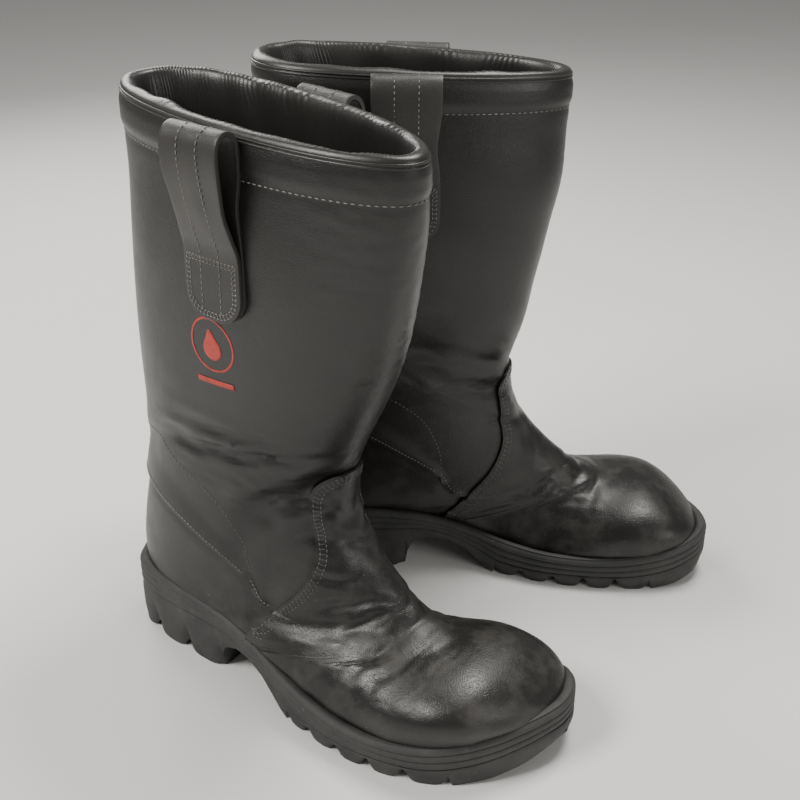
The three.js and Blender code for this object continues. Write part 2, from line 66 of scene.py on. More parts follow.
# ---- the form, in millimetres ------------------------------------------------------------
# Rings from the rim to the toe: the top or front line (x, z), the back or bottom line (x, z),
# the half widths outside and inside, the shift of the middle, the height of the widest
# point between the two lines, and the roundness of the front and of the back half.
RINGS = (
    (189, 341, 2, 349, 45, 45, 0, 0.36, 2.0, 2.4),
    (188, 301, 7, 303, 47, 47, 0, 0.38, 2.1, 2.4),
    (182, 250, 12, 250, 49, 49, 0, 0.42, 2.1, 2.4),
    (172, 200, 16, 195, 48, 48, 0, 0.45, 2.1, 2.4),
    (161, 156, 18, 146, 44, 43, 0, 0.45, 2.1, 2.4),
    (161, 128, 16, 112, 41, 40, 0, 0.43, 2.1, 2.4),
    (171, 107, 11, 86, 40, 39, 0, 0.4, 2.0, 2.5),
    (187, 89, 7, 64, 39, 38, 0, 0.37, 2.0, 2.6),
    (203, 75, 10, 45, 39, 37, 0, 0.35, 2.0, 2.8),
    (214, 67, 26, 38, 39, 35, 1, 0.34, 2.0, 3.2),
    (224, 63, 70, 38, 40, 33, 2, 0.35, 2.1, 3.8),
    (234, 60, 115, 31, 44, 32, 3, 0.36, 2.2, 4.2),
    (245, 60, 155, 20, 51, 38, 2, 0.37, 2.3, 4.5),
    (257, 59.5, 195, 15, 57, 48, 0, 0.38, 2.4, 4.5),
    (269, 56.5, 230, 16, 55, 50, -1, 0.38, 2.5, 4.3),
    (281, 50, 258, 19, 46, 46, -4, 0.38, 2.5, 3.8),
    (292, 41, 280, 23, 29, 32, -9, 0.42, 2.4, 3.2),
    (299, 31, 297, 28, 8, 9, -13, 0.5, 2.0, 2.0),
)
LAST_RING = len(RINGS) - 1
TOE_BASE = 15  # the ring from which the toe closes
STANCE_FADE = (1, 0.88, 0.66, 0.42, 0.18, 0.05)  # share of the leg's stance on each ring
LEG_MIDDLE = 100.0
RING_PITCH = 17.0  # mean distance between rings down the leg
RADIAN_MM = 46.0  # mean distance that an angle of 1 covers round the leg
RIM_HEIGHT = 345.0
STEP = 0.01  # ring or angle step for slopes
OUTLINE = (
    (0, 0), (7, 23), (20, 34), (45, 39.5), (80, 42), (110, 45), (145, 53), (180, 60),
    (210, 61.5), (240, 56), (262, 46), (280, 31), (293, 14), (301, -4), (303, -16), (301, -28),
    (292, -42), (275, -50.5), (250, -54), (220, -54.5), (190, -51), (165, -44), (140, -37),
    (110, -35), (80, -38), (45, -39), (20, -32), (6, -21),
)
TOE_POINT = 14  # the outline's point at the toe
TOP_OF_SOLE = (
    (-20, 50), (20, 49), (60, 47), (90, 44), (120, 37), (150, 28), (180, 23.5), (215, 22.5),
    (240, 24), (262, 28), (282, 33), (296, 37), (330, 40),
)
PARTING_OF_SOLE = (
    (-20, 31), (70, 31), (95, 31), (112, 29), (130, 23), (148, 14), (165, 9), (215, 9),
    (250, 10), (275, 15), (300, 23), (330, 26),
)
TREAD = (
    (-20, 0), (91, 0), (92.5, 13), (96, 19.5), (106, 23.5), (118, 22.5), (131, 17.5), (141, 9),
    (147, 3.5), (153, 0), (262, 0), (280, 3), (293, 8), (302, 14), (330, 20),
)
GROOVES = (30, 60, 172, 194, 216, 238)
LUG_EDGES = (-6, 30, 60, 91.5, 153, 172, 194, 216, 238, 264)
ARCH = 3  # the number of the gap between the heel's and the forefoot's lugs
VAMP_EDGE = (
    (186, 158), (172, 153), (158, 146), (152, 132), (154, 112), (156, 96), (149, 78),
    (134, 60), (120, 43), (108, 24), (102, 0),
)
QUARTER_EDGE = (
    (-20, 119), (30, 118), (50, 112), (70, 103), (90, 91), (112, 77), (150, 56), (400, 50),
)
LEG_SEAM = ((22, 150), (46, 152), (76, 140), (100, 122), (112, 100), (116, 80))
TUCK = 7.0  # how far the leather goes down inside the sole's lip
LAP = 1.8  # how far one panel's edge stands over the panel under it
HEEL_LUG = 45.0  # the heel mount's distance from the back of the heel


def catmull(table: Array, place: Array) -> Array:
    """Smooth rows of a table at fractional row numbers.

    Args:
        table: The rows.
        place: Row numbers, from 0 to the last row.

    Returns:
        One row for each place.
    """
    place = np.asarray(place, float)
    last = len(table) - 1
    i = np.clip(np.floor(place).astype(int), 0, last - 1)
    u = (place - i)[..., None]
    p1, p2 = table[i], table[i + 1]
    p0 = np.where((i > 0)[..., None], table[np.maximum(i - 1, 0)], 2 * p1 - p2)
    p3 = np.where((i + 2 <= last)[..., None], table[np.minimum(i + 2, last)], 2 * p2 - p1)
    curve = (2 * p0 - 5 * p1 + 4 * p2 - p3) * u + (3 * p1 - p0 - 3 * p2 + p3) * u * u
    return 0.5 * (2 * p1 + (p2 - p0 + curve) * u)


def smooth_line(points: Sequence[Sequence[float]], per_span: int = 12) -> Array:
    """A line's points with `per_span` smooth steps between each two."""
    table = np.array(points, float)
    return catmull(table, np.linspace(0, len(table) - 1, per_span * (len(table) - 1) + 1))


def height_on(line: Array, x: Array) -> Array:
    """The height of a side-view line at x."""
    return np.interp(x, line[:, 0], line[:, 1])


def smoothstep(low: float, high: float, value: Array) -> Array:
    """0 below low, 1 above high, and a smooth step between."""
    t = np.clip((value - low) / (high - low), 0, 1)
    return t * t * (3 - 2 * t)


def bell(value: Array, middle: float, width: float) -> Array:
    """1 at the middle, and a soft fall to 0 on both sides."""
    return np.exp(-(((value - middle) / width) ** 2))


def unit(rows: Array) -> Array:
    """Rows scaled to a length of 1."""
    return rows / np.linalg.norm(rows, axis=-1, keepdims=True)


def distances(points: Array) -> Array:
    """How far along a line each of its points lies."""
    return np.concatenate([[0], np.cumsum(np.linalg.norm(np.diff(points, axis=0), axis=1))])


def read_at(place: Array, run: Array, rows: Array) -> Array:
    """Rows that belong to the numbers in `run`, read at other numbers between."""
    return np.stack([np.interp(place, run, column) for column in rows.T], -1)


def crossing(test: Callable[[Array], Array], low: Array, high: Array) -> Array:
    """Where a test turns from positive to negative.

    Args:
        test: Gives a number for each value, positive at the low end.
        low: The low ends.
        high: The high ends.

    Returns:
        The values where the sign turns, or the high end where it doesn't.
    """
    for _ in range(34):
        middle = (low + high) / 2
        above = test(middle) > 0
        low, high = np.where(above, middle, low), np.where(above, high, middle)
    return (low + high) / 2


class Ripple:
    """Soft noise on points in millimetres: a sum of waves in seeded directions."""

    def __init__(self, wavelength: float, seed: int, waves: int = 7) -> None:
        """Draws the waves.

        Args:
            wavelength: Typical distance between crests.
            seed: Seed of the draw.
            waves: How many waves are added.
        """
        draw = np.random.default_rng(seed)
        turn = unit(draw.normal(size=(waves, 3)))
        self.waves = turn * (FULL_TURN / (wavelength * draw.uniform(0.6, 1.7, waves)))[:, None]
        self.phase = draw.uniform(0, FULL_TURN, waves)

    def __call__(self, points: Array) -> Array:
        """The noise at each point, mostly between -1 and 1."""
        return np.sin(points @ self.waves.T + self.phase).sum(-1) / math.sqrt(len(self.phase) / 2) / 1.6


SMOOTH_VAMP = smooth_line(VAMP_EDGE)[::-1]
SMOOTH_QUARTER = smooth_line(QUARTER_EDGE)
SMOOTH_TOP = smooth_line(TOP_OF_SOLE)
SMOOTH_PARTING = smooth_line(PARTING_OF_SOLE)
TREAD_LINE = np.array(TREAD, float)


@dataclass(frozen=True)
class Stance:
    """How the leg of one boot stands, fading to nothing at the ankle."""

    forward: float
    back: float
    narrow: float
    turn: float
    belly: float


@dataclass(frozen=True)
class Fold:
    """A fold in the leather, drawn in side view from one point to the other."""

    start: tuple[float, float]
    end: tuple[float, float]
    depth: float
    width: float
    face: int  # 1 the outside of the leg, -1 the inside, 0 both

    def relief(self, points: Array, waver: Array) -> Array:
        """How far the fold moves the leather out.

        Args:
            points: Places on the boot.
            waver: How far the fold strays sideways from its line there.

        Returns:
            Distances in millimetres.
        """
        line = np.subtract(self.end, self.start).astype(float)
        away = points[..., ::2] - np.array(self.start)
        t = (away @ line) / (line @ line)
        gap = (away @ np.array([-line[1], line[0]])) / np.linalg.norm(line) + waver
        fade = smoothstep(-0.12, 0.2, t) * (1 - smoothstep(0.75, 1.12, t))
        on_face = 1.0 if self.face == 0 else smoothstep(-6, 14, points[..., 1] * self.face)
        swell = bell(np.abs(gap), 1.8 * self.width, self.width)
        return self.depth * fade * on_face * (0.45 * swell - bell(gap, 0, self.width))


class Side(Enum):
    """The two boots."""

    LEFT = "left"
    RIGHT = "right"


def small_folds(
    seed: int, middle: tuple[float, float], spread: tuple[float, float], turn: float, count: int,
    face: int, deep: float = 1.0,
) -> tuple[Fold, ...]:
    """Short fine creases scattered about a place in side view.

    Args:
        seed: Seed of the draw.
        middle: The place.
        spread: How far they scatter along x and z.
        turn: Their usual direction in degrees.
        count: How many.
        face: The side of the boot, as in Fold.
        deep: How deep they are beside the usual ones.

    Returns:
        The folds.
    """
    draw = np.random.default_rng(seed)
    made = []
    for _ in range(count):
        x, z = np.array(middle) + draw.normal(size=2) * spread
        way = math.radians(turn + draw.normal() * 22)
        half = draw.uniform(6, 16)
        dx, dz = half * math.cos(way), half * math.sin(way)
        depth, width = draw.uniform(0.12, 0.3) * deep, draw.uniform(1.2, 2.0)
        made.append(Fold((x - dx, z - dz), (x + dx, z + dz), depth, width, face))
    return tuple(made)


STANCES = {
    Side.LEFT: Stance(0, -8, 0, 0, -0.04),
    Side.RIGHT: Stance(42, 6, 5, 12, 0.08),
}
SHARED_FOLDS = (
    Fold((230, 64), (198, 36), 0.45, 2.4, 0),
    Fold((219, 70), (188, 44), 0.6, 2.8, 0),
    Fold((207, 76), (178, 58), 0.55, 2.6, 0),
)
FOLDS = {
    Side.LEFT: (
        *SHARED_FOLDS,
        Fold((166, 130), (108, 152), 1.5, 6.0, -1),
        Fold((160, 152), (92, 180), 1.0, 5.5, -1),
        Fold((176, 106), (146, 120), 0.9, 3.4, 0),
        Fold((150, 132), (80, 124), 1.0, 8.0, 1),
        Fold((120, 192), (50, 146), 1.1, 10.0, -1),
        *small_folds(5, (128, 152), (18, 9), -12, 8, -1),
        *small_folds(6, (206, 52), (13, 7), 60, 8, 0),
    ),
    Side.RIGHT: (
        *SHARED_FOLDS,
        Fold((170, 154), (112, 116), 4.2, 8.0, 1),
        Fold((168, 168), (72, 160), 1.6, 4.0, 1),
        Fold((156, 176), (66, 178), 1.0, 3.4, 1),
        Fold((138, 118), (104, 92), 1.5, 8.0, 1),
        Fold((84, 170), (32, 138), 2.0, 8.0, 1),
        Fold((178, 104), (148, 112), 1.0, 3.4, 0),
        Fold((190, 90), (156, 88), 0.8, 3.0, 1),
        Fold((204, 80), (160, 70), 0.9, 3.0, 1),
        Fold((222, 62), (166, 48), 0.5, 2.4, 1),
        Fold((150, 140), (104, 152), 1.4, 7.0, -1),
        *small_folds(21, (118, 166), (28, 10), 2, 44, 1, 1.3),
        *small_folds(8, (196, 54), (20, 11), 40, 30, 1, 0.8),
    ),
}


def fold_angle(angle: Array) -> Array:
    """An angle's distance from the front line, from 0 to a half turn."""
    return np.abs((np.asarray(angle, float) + math.pi) % FULL_TURN - math.pi)


def over_sole(point: Array) -> Array:
    """How far a point lies above the line where the leather ends in the sole."""
    return point[..., 2] - height_on(SMOOTH_TOP, point[..., 0]) + TUCK


def over_quarter(point: Array) -> Array:
    """How far a point lies above the heel quarter's top edge."""
    return point[..., 2] - height_on(SMOOTH_QUARTER, point[..., 0])


def before_vamp(point: Array, above: "float | None" = None) -> Array:
    """How far a point lies in front of the vamp's back edge.

    Args:
        point: The points.
        above: Where the edge stands over the vamp's top, if not at its last point.

    Returns:
        Distances, negative behind the edge.
    """
    edge = np.interp(point[..., 2], SMOOTH_VAMP[:, 1], SMOOTH_VAMP[:, 0], right=above)
    return point[..., 0] - edge


class BootForm:
    """The smooth body of one boot, in its own frame and in the row's frame."""

    slope_step: float = 0.25

    def __init__(self, side: Side) -> None:
        """Reads where the boot stands from the record's mounts.

        Args:
            side: Which boot it is.
        """
        self.side, stance = side, STANCES[side]
        rows = []
        for i, (tx, tz, qx, qz, out, inn, shift, belly, front, back) in enumerate(RINGS):
            f = STANCE_FADE[i] if i < len(STANCE_FADE) else 0
            rows.append((
                tx + stance.forward * f, tz, qx + stance.back * f, qz, out - stance.narrow * f,
                inn - stance.narrow * f, shift, belly + stance.belly * f, front, back,
                math.radians(stance.turn * f),
            ))
        self.rows = np.array(rows, float)
        self.leg_x = (rows[0][0] + rows[0][2]) / 2
        mounts = {m["name"]: np.array(m["pos_m"]) for m in frame["record"]["mounts"]}
        heel, ball = (mounts[f"{side.value}_{end}_tread"] for end in ("heel", "ball"))
        self.ahead = unit(ball - heel)
        hand = 1 if side is Side.LEFT else -1
        self.outside = hand * np.array([-self.ahead[1], self.ahead[0], 0.0])
        self.origin = heel - self.ahead * HEEL_LUG * MM
        self.swell = Ripple(70, 3 + hand)
        self.crinkle = Ripple(7, 11 + hand, 11)
        self._find_seams()

    def row(self, s: Array) -> Array:
        """The form's row of numbers at ring s."""
        return catmull(self.rows, s)

    def spine(self, s: Array, depth: Array) -> tuple[Array, Array, Array]:
        """The side view of ring s.

        Args:
            s: Ring numbers.
            depth: Depth under the leather's outer face.

        Returns:
            The top, bottom and widest points, as x and z.
        """
        row = self.row(s)
        ahead = self.row(np.minimum(LAST_RING, s + self.slope_step))
        d = ahead - self.row(np.maximum(0, s - self.slope_step))

        def inward(i: int, turn: int) -> Array:
            """One line's points moved in along its normal."""
            step = turn * depth / np.hypot(d[..., i], d[..., i + 1])
            return np.stack([row[..., i] + d[..., i + 1] * step, row[..., i + 1] - d[..., i] * step], -1)

        top, bottom = inward(0, 1), inward(2, -1)
        return top, bottom, bottom + (top - bottom) * row[..., 7:8]

    def section(self, s: Array, angle: Array, depth: Array = 0.0) -> Array:
        """Points of a layer before the leg's turn.

        Args:
            s: Ring numbers, from the rim.
            angle: Angles from the front or top over the outside.
            depth: Depth under the leather's outer face.

        Returns:
            Points as rows of x, y and z.
        """
        s, angle, depth = np.broadcast_arrays(*(np.asarray(v, float) for v in (s, angle, depth)))
        row, past = self.row(s), (s > TOE_BASE)[..., None]
        base = np.minimum(s, TOE_BASE)
        inner, outer, plain = self.spine(base, depth), self.spine(base, depth * 0), self.spine(s, depth * 0)
        closing = np.maximum(0, s - TOE_BASE) / (LAST_RING - TOE_BASE)
        c, q = np.cos(angle), np.sin(angle)
        front = (c >= 0)[..., None]
        power = 2 / np.where(c >= 0, row[..., 8], row[..., 9])
        along, over = np.abs(c) ** power, np.sign(q) * np.abs(q) ** power
        reach_in, reach_out = (
            np.linalg.norm(np.where(front, side[0], side[1]) - side[2], axis=-1) for side in (inner, outer)
        )
        here = [np.where(past, a, b) for a, b in zip(plain, inner)]
        keep = np.where(past[..., 0], reach_in / reach_out, 1)
        slide = np.where(past, (inner[2] - outer[2]) * (1 - closing)[..., None], 0)
        end = np.where(front, here[0], here[1])
        widths = self.row(base)
        halves = [row[..., i] * (1 - depth / widths[..., i]) for i in (4, 5)]
        xz = here[2] + (end - here[2]) * (along * keep)[..., None] + slide
        y = row[..., 6] + over * np.where(over >= 0, *halves)
        return np.stack([xz[..., 0] - closing * depth, y, xz[..., 1]], -1)

    def slopes(self, s: Array, angle: Array) -> tuple[Array, Array, Array]:
        """A point of the outer face and how it moves.

        Args:
            s: Ring numbers.
            angle: Angles round the ring.

        Returns:
            The points, and their change with the ring and with the angle.
        """
        base = self.section(s, angle)
        along_s = (self.section(s + STEP, angle) - base) / STEP
        return base, along_s, (self.section(s, angle + STEP) - base) / STEP

    def turned(self, s: Array, points: Array) -> Array:
        """Points turned with the leg.

        Args:
            s: Their ring numbers.
            points: The points before the turn.

        Returns:
            The turned points.
        """
        turn = self.row(np.asarray(s, float))[..., 10]
        x, y = points[..., 0] - LEG_MIDDLE, points[..., 1]
        c, q = np.cos(turn), np.sin(turn)
        return np.stack([LEG_MIDDLE + x * c - y * q, x * q + y * c, points[..., 2]], -1)

    def way(self, points: Array) -> Array:
        """Directions of the boot's own frame in the row's frame."""
        up = np.array([0, 0, 1.0])
        return points[..., :1] * self.ahead + points[..., 1:2] * self.outside + points[..., 2:] * up

    def world(self, points: Array) -> Array:
        """Points of the boot's own frame in the row's frame, in metres."""
        return self.origin + self.way(points * MM)

    def normal(self, s: Array, angle: Array) -> Array:
        """The outward normals of the outer face, before the leg's turn.

        Args:
            s: Ring numbers.
            angle: Angles round the ring.

        Returns:
            One normal for each point.
        """
        step = 2 * STEP
        ds = self.section(s + step, angle) - self.section(s - step, angle)
        da = self.section(s, angle + step) - self.section(s, angle - step)
        n = np.cross(ds, da)
        n /= np.maximum(np.linalg.norm(n, axis=-1, keepdims=True), 1e-9)
        middle = self.spine(s, s * 0)[2]
        middle = np.stack([middle[..., 0], self.row(s)[..., 6], middle[..., 1]], -1)
        out = self.section(s, angle) - middle
        return n * np.where((n * out).sum(-1, keepdims=True) < 0, -1, 1)

    def relief(self, points: Array) -> Array:
        """How far folds, creases and soft hollows move the leather out.

        Args:
            points: Points of the outer face.

        Returns:
            Distances in millimetres.
        """
        x, z = points[..., 0], points[..., 2]
        total = 1.1 * smoothstep(60, 120, z) * (1 - smoothstep(300, 335, z)) * self.swell(points)
        waver = 1.6 * self.swell(points * 3.1)
        for fold in FOLDS[self.side]:
            total = total + fold.relief(points, waver)
        ankle = bell(z, 150, 26) * smoothstep(60, 120, x)
        flex = bell(x, 208, 24) * smoothstep(30, 50, z)
        return total + 0.28 * (ankle + 0.8 * flex) * self.crinkle(points * np.array([0.45, 0.5, 1.3]))

    def skin(self, s: Array, angle: Array, lift: Array = 0.0) -> Array:
        """Points of the outer face with its folds, in the row's frame.

        Args:
            s: Ring numbers.
            angle: Angles round the ring.
            lift: How far outside the face the points lie, in millimetres.

        Returns:
            Points in metres.
        """
        s, angle, lift = np.broadcast_arrays(*(np.asarray(v, float) for v in (s, angle, lift)))
        bare = self.section(s, angle)
        moved = bare + self.normal(s, angle) * (lift + self.relief(bare))[..., None]
        return self.world(self.turned(s, moved))

    def outward(self, s: Array, angle: Array) -> Array:
        """Outward normals in the row's frame."""
        point = self.section(s, angle)
        return self.way(self.turned(s, point + self.normal(s, angle)) - self.turned(s, point))

    def layer(self, s: Array, angle: Array, depth: Array) -> Array:
        """Points of an inner layer in the row's frame, in metres."""
        return self.world(self.turned(s, self.section(s, angle, depth)))

    def on_side(self, x: Array, z: Array, face: int) -> tuple[Array, Array]:
        """Finds the places of one side that stand at x and z in side view.

        Args:
            x: Distances from the heel.
            z: Heights.
            face: 1 for the outside of the leg, -1 for the inside.

        Returns:
            Ring numbers and angles.
        """
        x, z = np.broadcast_arrays(np.asarray(x, float), np.asarray(z, float))
        rings = np.linspace(0, 9, 200)
        middles = self.spine(rings, rings * 0)[2][:, 1]
        s, angle = np.interp(-z, -middles, rings), x * 0 + math.pi / 2

        def at(ring: Array, turn: Array) -> Array:
            """Side-view points of the outer face."""
            return self.turned(ring, self.section(ring, turn * face))[..., ::2]

        for _ in range(24):
            here = at(s, angle)
            ds, da = (at(s + STEP, angle) - here) / STEP, (at(s, angle + STEP) - here) / STEP
            gap = np.stack([x, z], -1) - here
            det = ds[..., 0] * da[..., 1] - ds[..., 1] * da[..., 0]
            move_s = (gap[..., 0] * da[..., 1] - gap[..., 1] * da[..., 0]) / det
            move_a = (ds[..., 0] * gap[..., 1] - ds[..., 1] * gap[..., 0]) / det
            s = np.clip(s + np.clip(move_s, -0.5, 0.5), 0, TOE_BASE)
            angle = np.clip(angle + np.clip(move_a, -0.25, 0.25), 0.05, math.pi - 0.05)
        return s, angle * face

    def _find_seams(self) -> None:
        """Finds where the seams and the sole's lip run over the rings."""
        past_top = 400.0  # no vamp above its highest point
        centre = np.linspace(3, LAST_RING - 0.05, 4000)
        line = self.section(centre, centre * 0)
        self.vamp_top = float(centre[np.argmax(before_vamp(line, past_top) > 0)])
        self.vamp_tip = float(centre[over_sole(line) > 0][-1])
        s = np.linspace(self.vamp_top, self.vamp_tip, 1500)
        self.seam_rings = s
        seam, self.sole_angles = (
            crossing(test, s * 0, s * 0 + math.pi)
            for test in (
                lambda a: before_vamp(self.section(s, a), past_top), lambda a: over_sole(self.section(s, a))
            )
        )
        self.seam_angles = np.maximum.accumulate(seam)
        self.angles = np.linspace(0, math.pi, 361)
        rings = np.linspace(2, 16, 1400)
        under = over_quarter(self.section(rings[:, None], self.angles[None])) < 0
        self.quarter_rings = np.where(under.any(0), rings[np.argmax(under, 0)], rings[-1])
        met = s > np.interp(self.seam_angles, self.angles, self.quarter_rings)
        self.meeting = float(s[np.argmax(met)])

    def seam_angle(self, s: Array) -> Array:
        """The angle of the vamp's back edge on ring s."""
        return np.interp(s, self.seam_rings, self.seam_angles)

    def seam_ring(self, angle: Array) -> Array:
        """The ring where the vamp starts at an angle."""
        return np.interp(fold_angle(angle), self.seam_angles, self.seam_rings)

    def quarter_ring(self, angle: Array) -> Array:
        """The ring of the heel quarter's top edge at an angle."""
        return np.interp(fold_angle(angle), self.angles, self.quarter_rings)


# ---- meshes ------------------------------------------------------------------------------
def laid_grid(columns: int, rows: int) -> tuple[Mesh, Array]:
    """A flat grid.

    Args:
        columns: Faces along the first way.
        rows: Faces along the second way.

    Returns:
        The mesh, and each corner's place in it, from 0 to 1 both ways.
    """
    bm = bmesh.new()
    bmesh.ops.create_grid(bm, x_segments=columns, y_segments=rows, size=0.5)
    bm.verts.index_update()
    return bm, np.array([v.co[:2] for v in bm.verts]) + 0.5


def move_to(bm: Mesh, points: Array) -> None:
    """Moves a mesh's corners to points in metres."""
    for vert, point in zip(bm.verts, points):
        vert.co = point


def grid_mesh(columns: int, rows: int, place: Place) -> Mesh:
    """A grid laid on a surface, with its meeting edges joined.

    Args:
        columns: Faces along the first way.
        rows: Faces along the second way.
        place: Gives points in metres for two arrays from 0 to 1.

    Returns:
        The mesh.
    """
    bm, at = laid_grid(columns, rows)
    move_to(bm, place(at[:, 0], at[:, 1]))
    bmesh.ops.remove_doubles(bm, verts=bm.verts, dist=1e-6)
    return bm


def solid_mesh(columns: int, rows: int, place: Place) -> Mesh:
    """A grid as in grid_mesh that closes on itself, with its faces out.

    Args:
        columns: Faces along the first way.
        rows: Faces along the second way.
        place: Gives points in metres for two arrays from 0 to 1.

    Returns:
        The mesh.
    """
    bm = grid_mesh(columns, rows, place)
    bmesh.ops.recalc_face_normals(bm, faces=bm.faces)
    return bm


def face_out(bm: Mesh, inside: Sequence[float]) -> None:
    """Turns an open mesh's faces away from a point.

    Args:
        bm: The mesh.
        inside: A point inside it.
    """
    bm.normal_update()
    middle = Vector(inside)
    votes = sum(f.calc_area() * f.normal.dot(f.calc_center_median() - middle) for f in bm.faces)
    if votes < 0:
        bmesh.ops.reverse_faces(bm, faces=bm.faces)


def make_piece(name: str, bm: Mesh, material: Material, smooth: bool = True) -> Piece:
    """Turns a mesh into an object at the origin.

    Args:
        name: The piece's name.
        bm: Its mesh, which is freed.
        material: Its only material.
        smooth: Whether its faces are shaded smooth.

    Returns:
        The object.
    """
    mesh = bpy.data.meshes.new(name)
    bm.to_mesh(mesh)
    bm.free()
    if smooth:
        mesh.shade_smooth()
    mesh.materials.append(material)
    piece = bpy.data.objects.new(name, mesh)
    bpy.context.scene.collection.objects.link(piece)
    return piece


def give_wall(piece: Piece, wall: float, offset: float = -1) -> None:
    """Gives a sheet its wall.

    Args:
        piece: The sheet.
        wall: The wall in millimetres.
        offset: -1 for a wall on the inner side, 0 for both sides.
    """
    solid = piece.modifiers.new("wall", "SOLIDIFY")
    solid.thickness, solid.offset = wall * MM, offset


def round_edges(piece: Piece, width: float, angle: float = 50.0) -> None:
    """Rounds a piece's edges.

    Args:
        piece: The piece.
        width: The rounding in millimetres.
        angle: The edges' smallest angle in degrees.
    """
    bevel = piece.modifiers.new("edges", "BEVEL")
    bevel.width, bevel.segments = width * MM, 2
    bevel.limit_method, bevel.angle_limit = "ANGLE", math.radians(angle)


class Thread:
    """Gathers stitches into one mesh."""

    def __init__(self) -> None:
        """Starts with no stitches."""
        self.bm = bmesh.new()

    def stitch(self, ends: tuple[Array, Array], normal: Array, length: float, thick: float) -> None:
        """Adds one stitch.

        Args:
            ends: Two points that it runs between, in metres.
            normal: The leather's normal.
            length: Its length in millimetres.
            thick: Its width in millimetres.
        """
        t = Vector(ends[1] - ends[0]).normalized()
        n = Vector(normal).normalized()
        b = n.cross(t).normalized()
        n = t.cross(b)
        size = Matrix.Diagonal((length * MM / 2, thick * MM / 2, thick * MM * 0.4, 1))
        turn = Matrix((t, b, n)).transposed().to_4x4()
        at = Matrix.Translation(Vector((ends[0] + ends[1]) / 2))
        bmesh.ops.create_icosphere(self.bm, subdivisions=1, radius=1, matrix=at @ turn @ size)

    def row(self, points: Array, normals: Array, pitch: float, length: float, thick: float) -> None:
        """Sews a row of stitches along a line.

        Args:
            points: The line's points in metres.
            normals: The leather's normals there.
            pitch: Distance between stitches in millimetres.
            length: Length of a stitch in millimetres.
            thick: Width of a stitch in millimetres.
        """
        run = distances(points)
        count = max(1, round(run[-1] / (pitch * MM)))
        half = length * MM * 0.45
        for middle in (np.arange(count) + 0.5) * run[-1] / count:
            ends = (read_at(middle - half, run, points), read_at(middle + half, run, points))
            self.stitch(ends, read_at(middle, run, normals), length, thick)

    def ladder(self, one: Array, two: Array, normals: Array, pitch: float, thick: float) -> None:
        """Sews cross stitches between two lines that run side by side.

        Args:
            one: The first line's points in metres.
            two: The second line's points.
            normals: The leather's normals.
            pitch: Distance between stitches in millimetres.
            thick: Width of a stitch in millimetres.
        """
        run = distances(one)
        for at in np.arange(pitch * MM / 2, run[-1], pitch * MM):
            a, b, n = (read_at(at, run, rows) for rows in (one, two, normals))
            self.stitch((a, b), n, np.linalg.norm(b - a) / MM, thick)


# ---- materials ---------------------------------------------------------------------------
class Wire:
    """A value in a material's node tree, with arithmetic."""

    def __init__(self, shader: "Shader", socket: bpy.types.NodeSocket) -> None:
        """Keeps the socket and its shader."""
        self.shader, self.socket = shader, socket

    def _maths(self, operation: str, *values: "Wire | float") -> "Wire":
        """A Math node on this value and others."""
        return self.shader.node("ShaderNodeMath", {"operation": operation}, dict(enumerate(values)))

    def __add__(self, other: "Wire | float") -> "Wire":
        """Sum."""
        return self._maths("ADD", self, other)

    def __mul__(self, other: "Wire | float") -> "Wire":
        """Product."""
        return self._maths("MULTIPLY", self, other)

    def __rsub__(self, other: float) -> "Wire":
        """A number less this value."""
        return self._maths("SUBTRACT", other, self)

    def band(self, low: float, high: float) -> "Wire":
        """0 at low and 1 at high, clamped."""
        values = {"Value": self, "From Min": low, "From Max": high}
        return self.shader.node("ShaderNodeMapRange", {"clamp": True}, values)


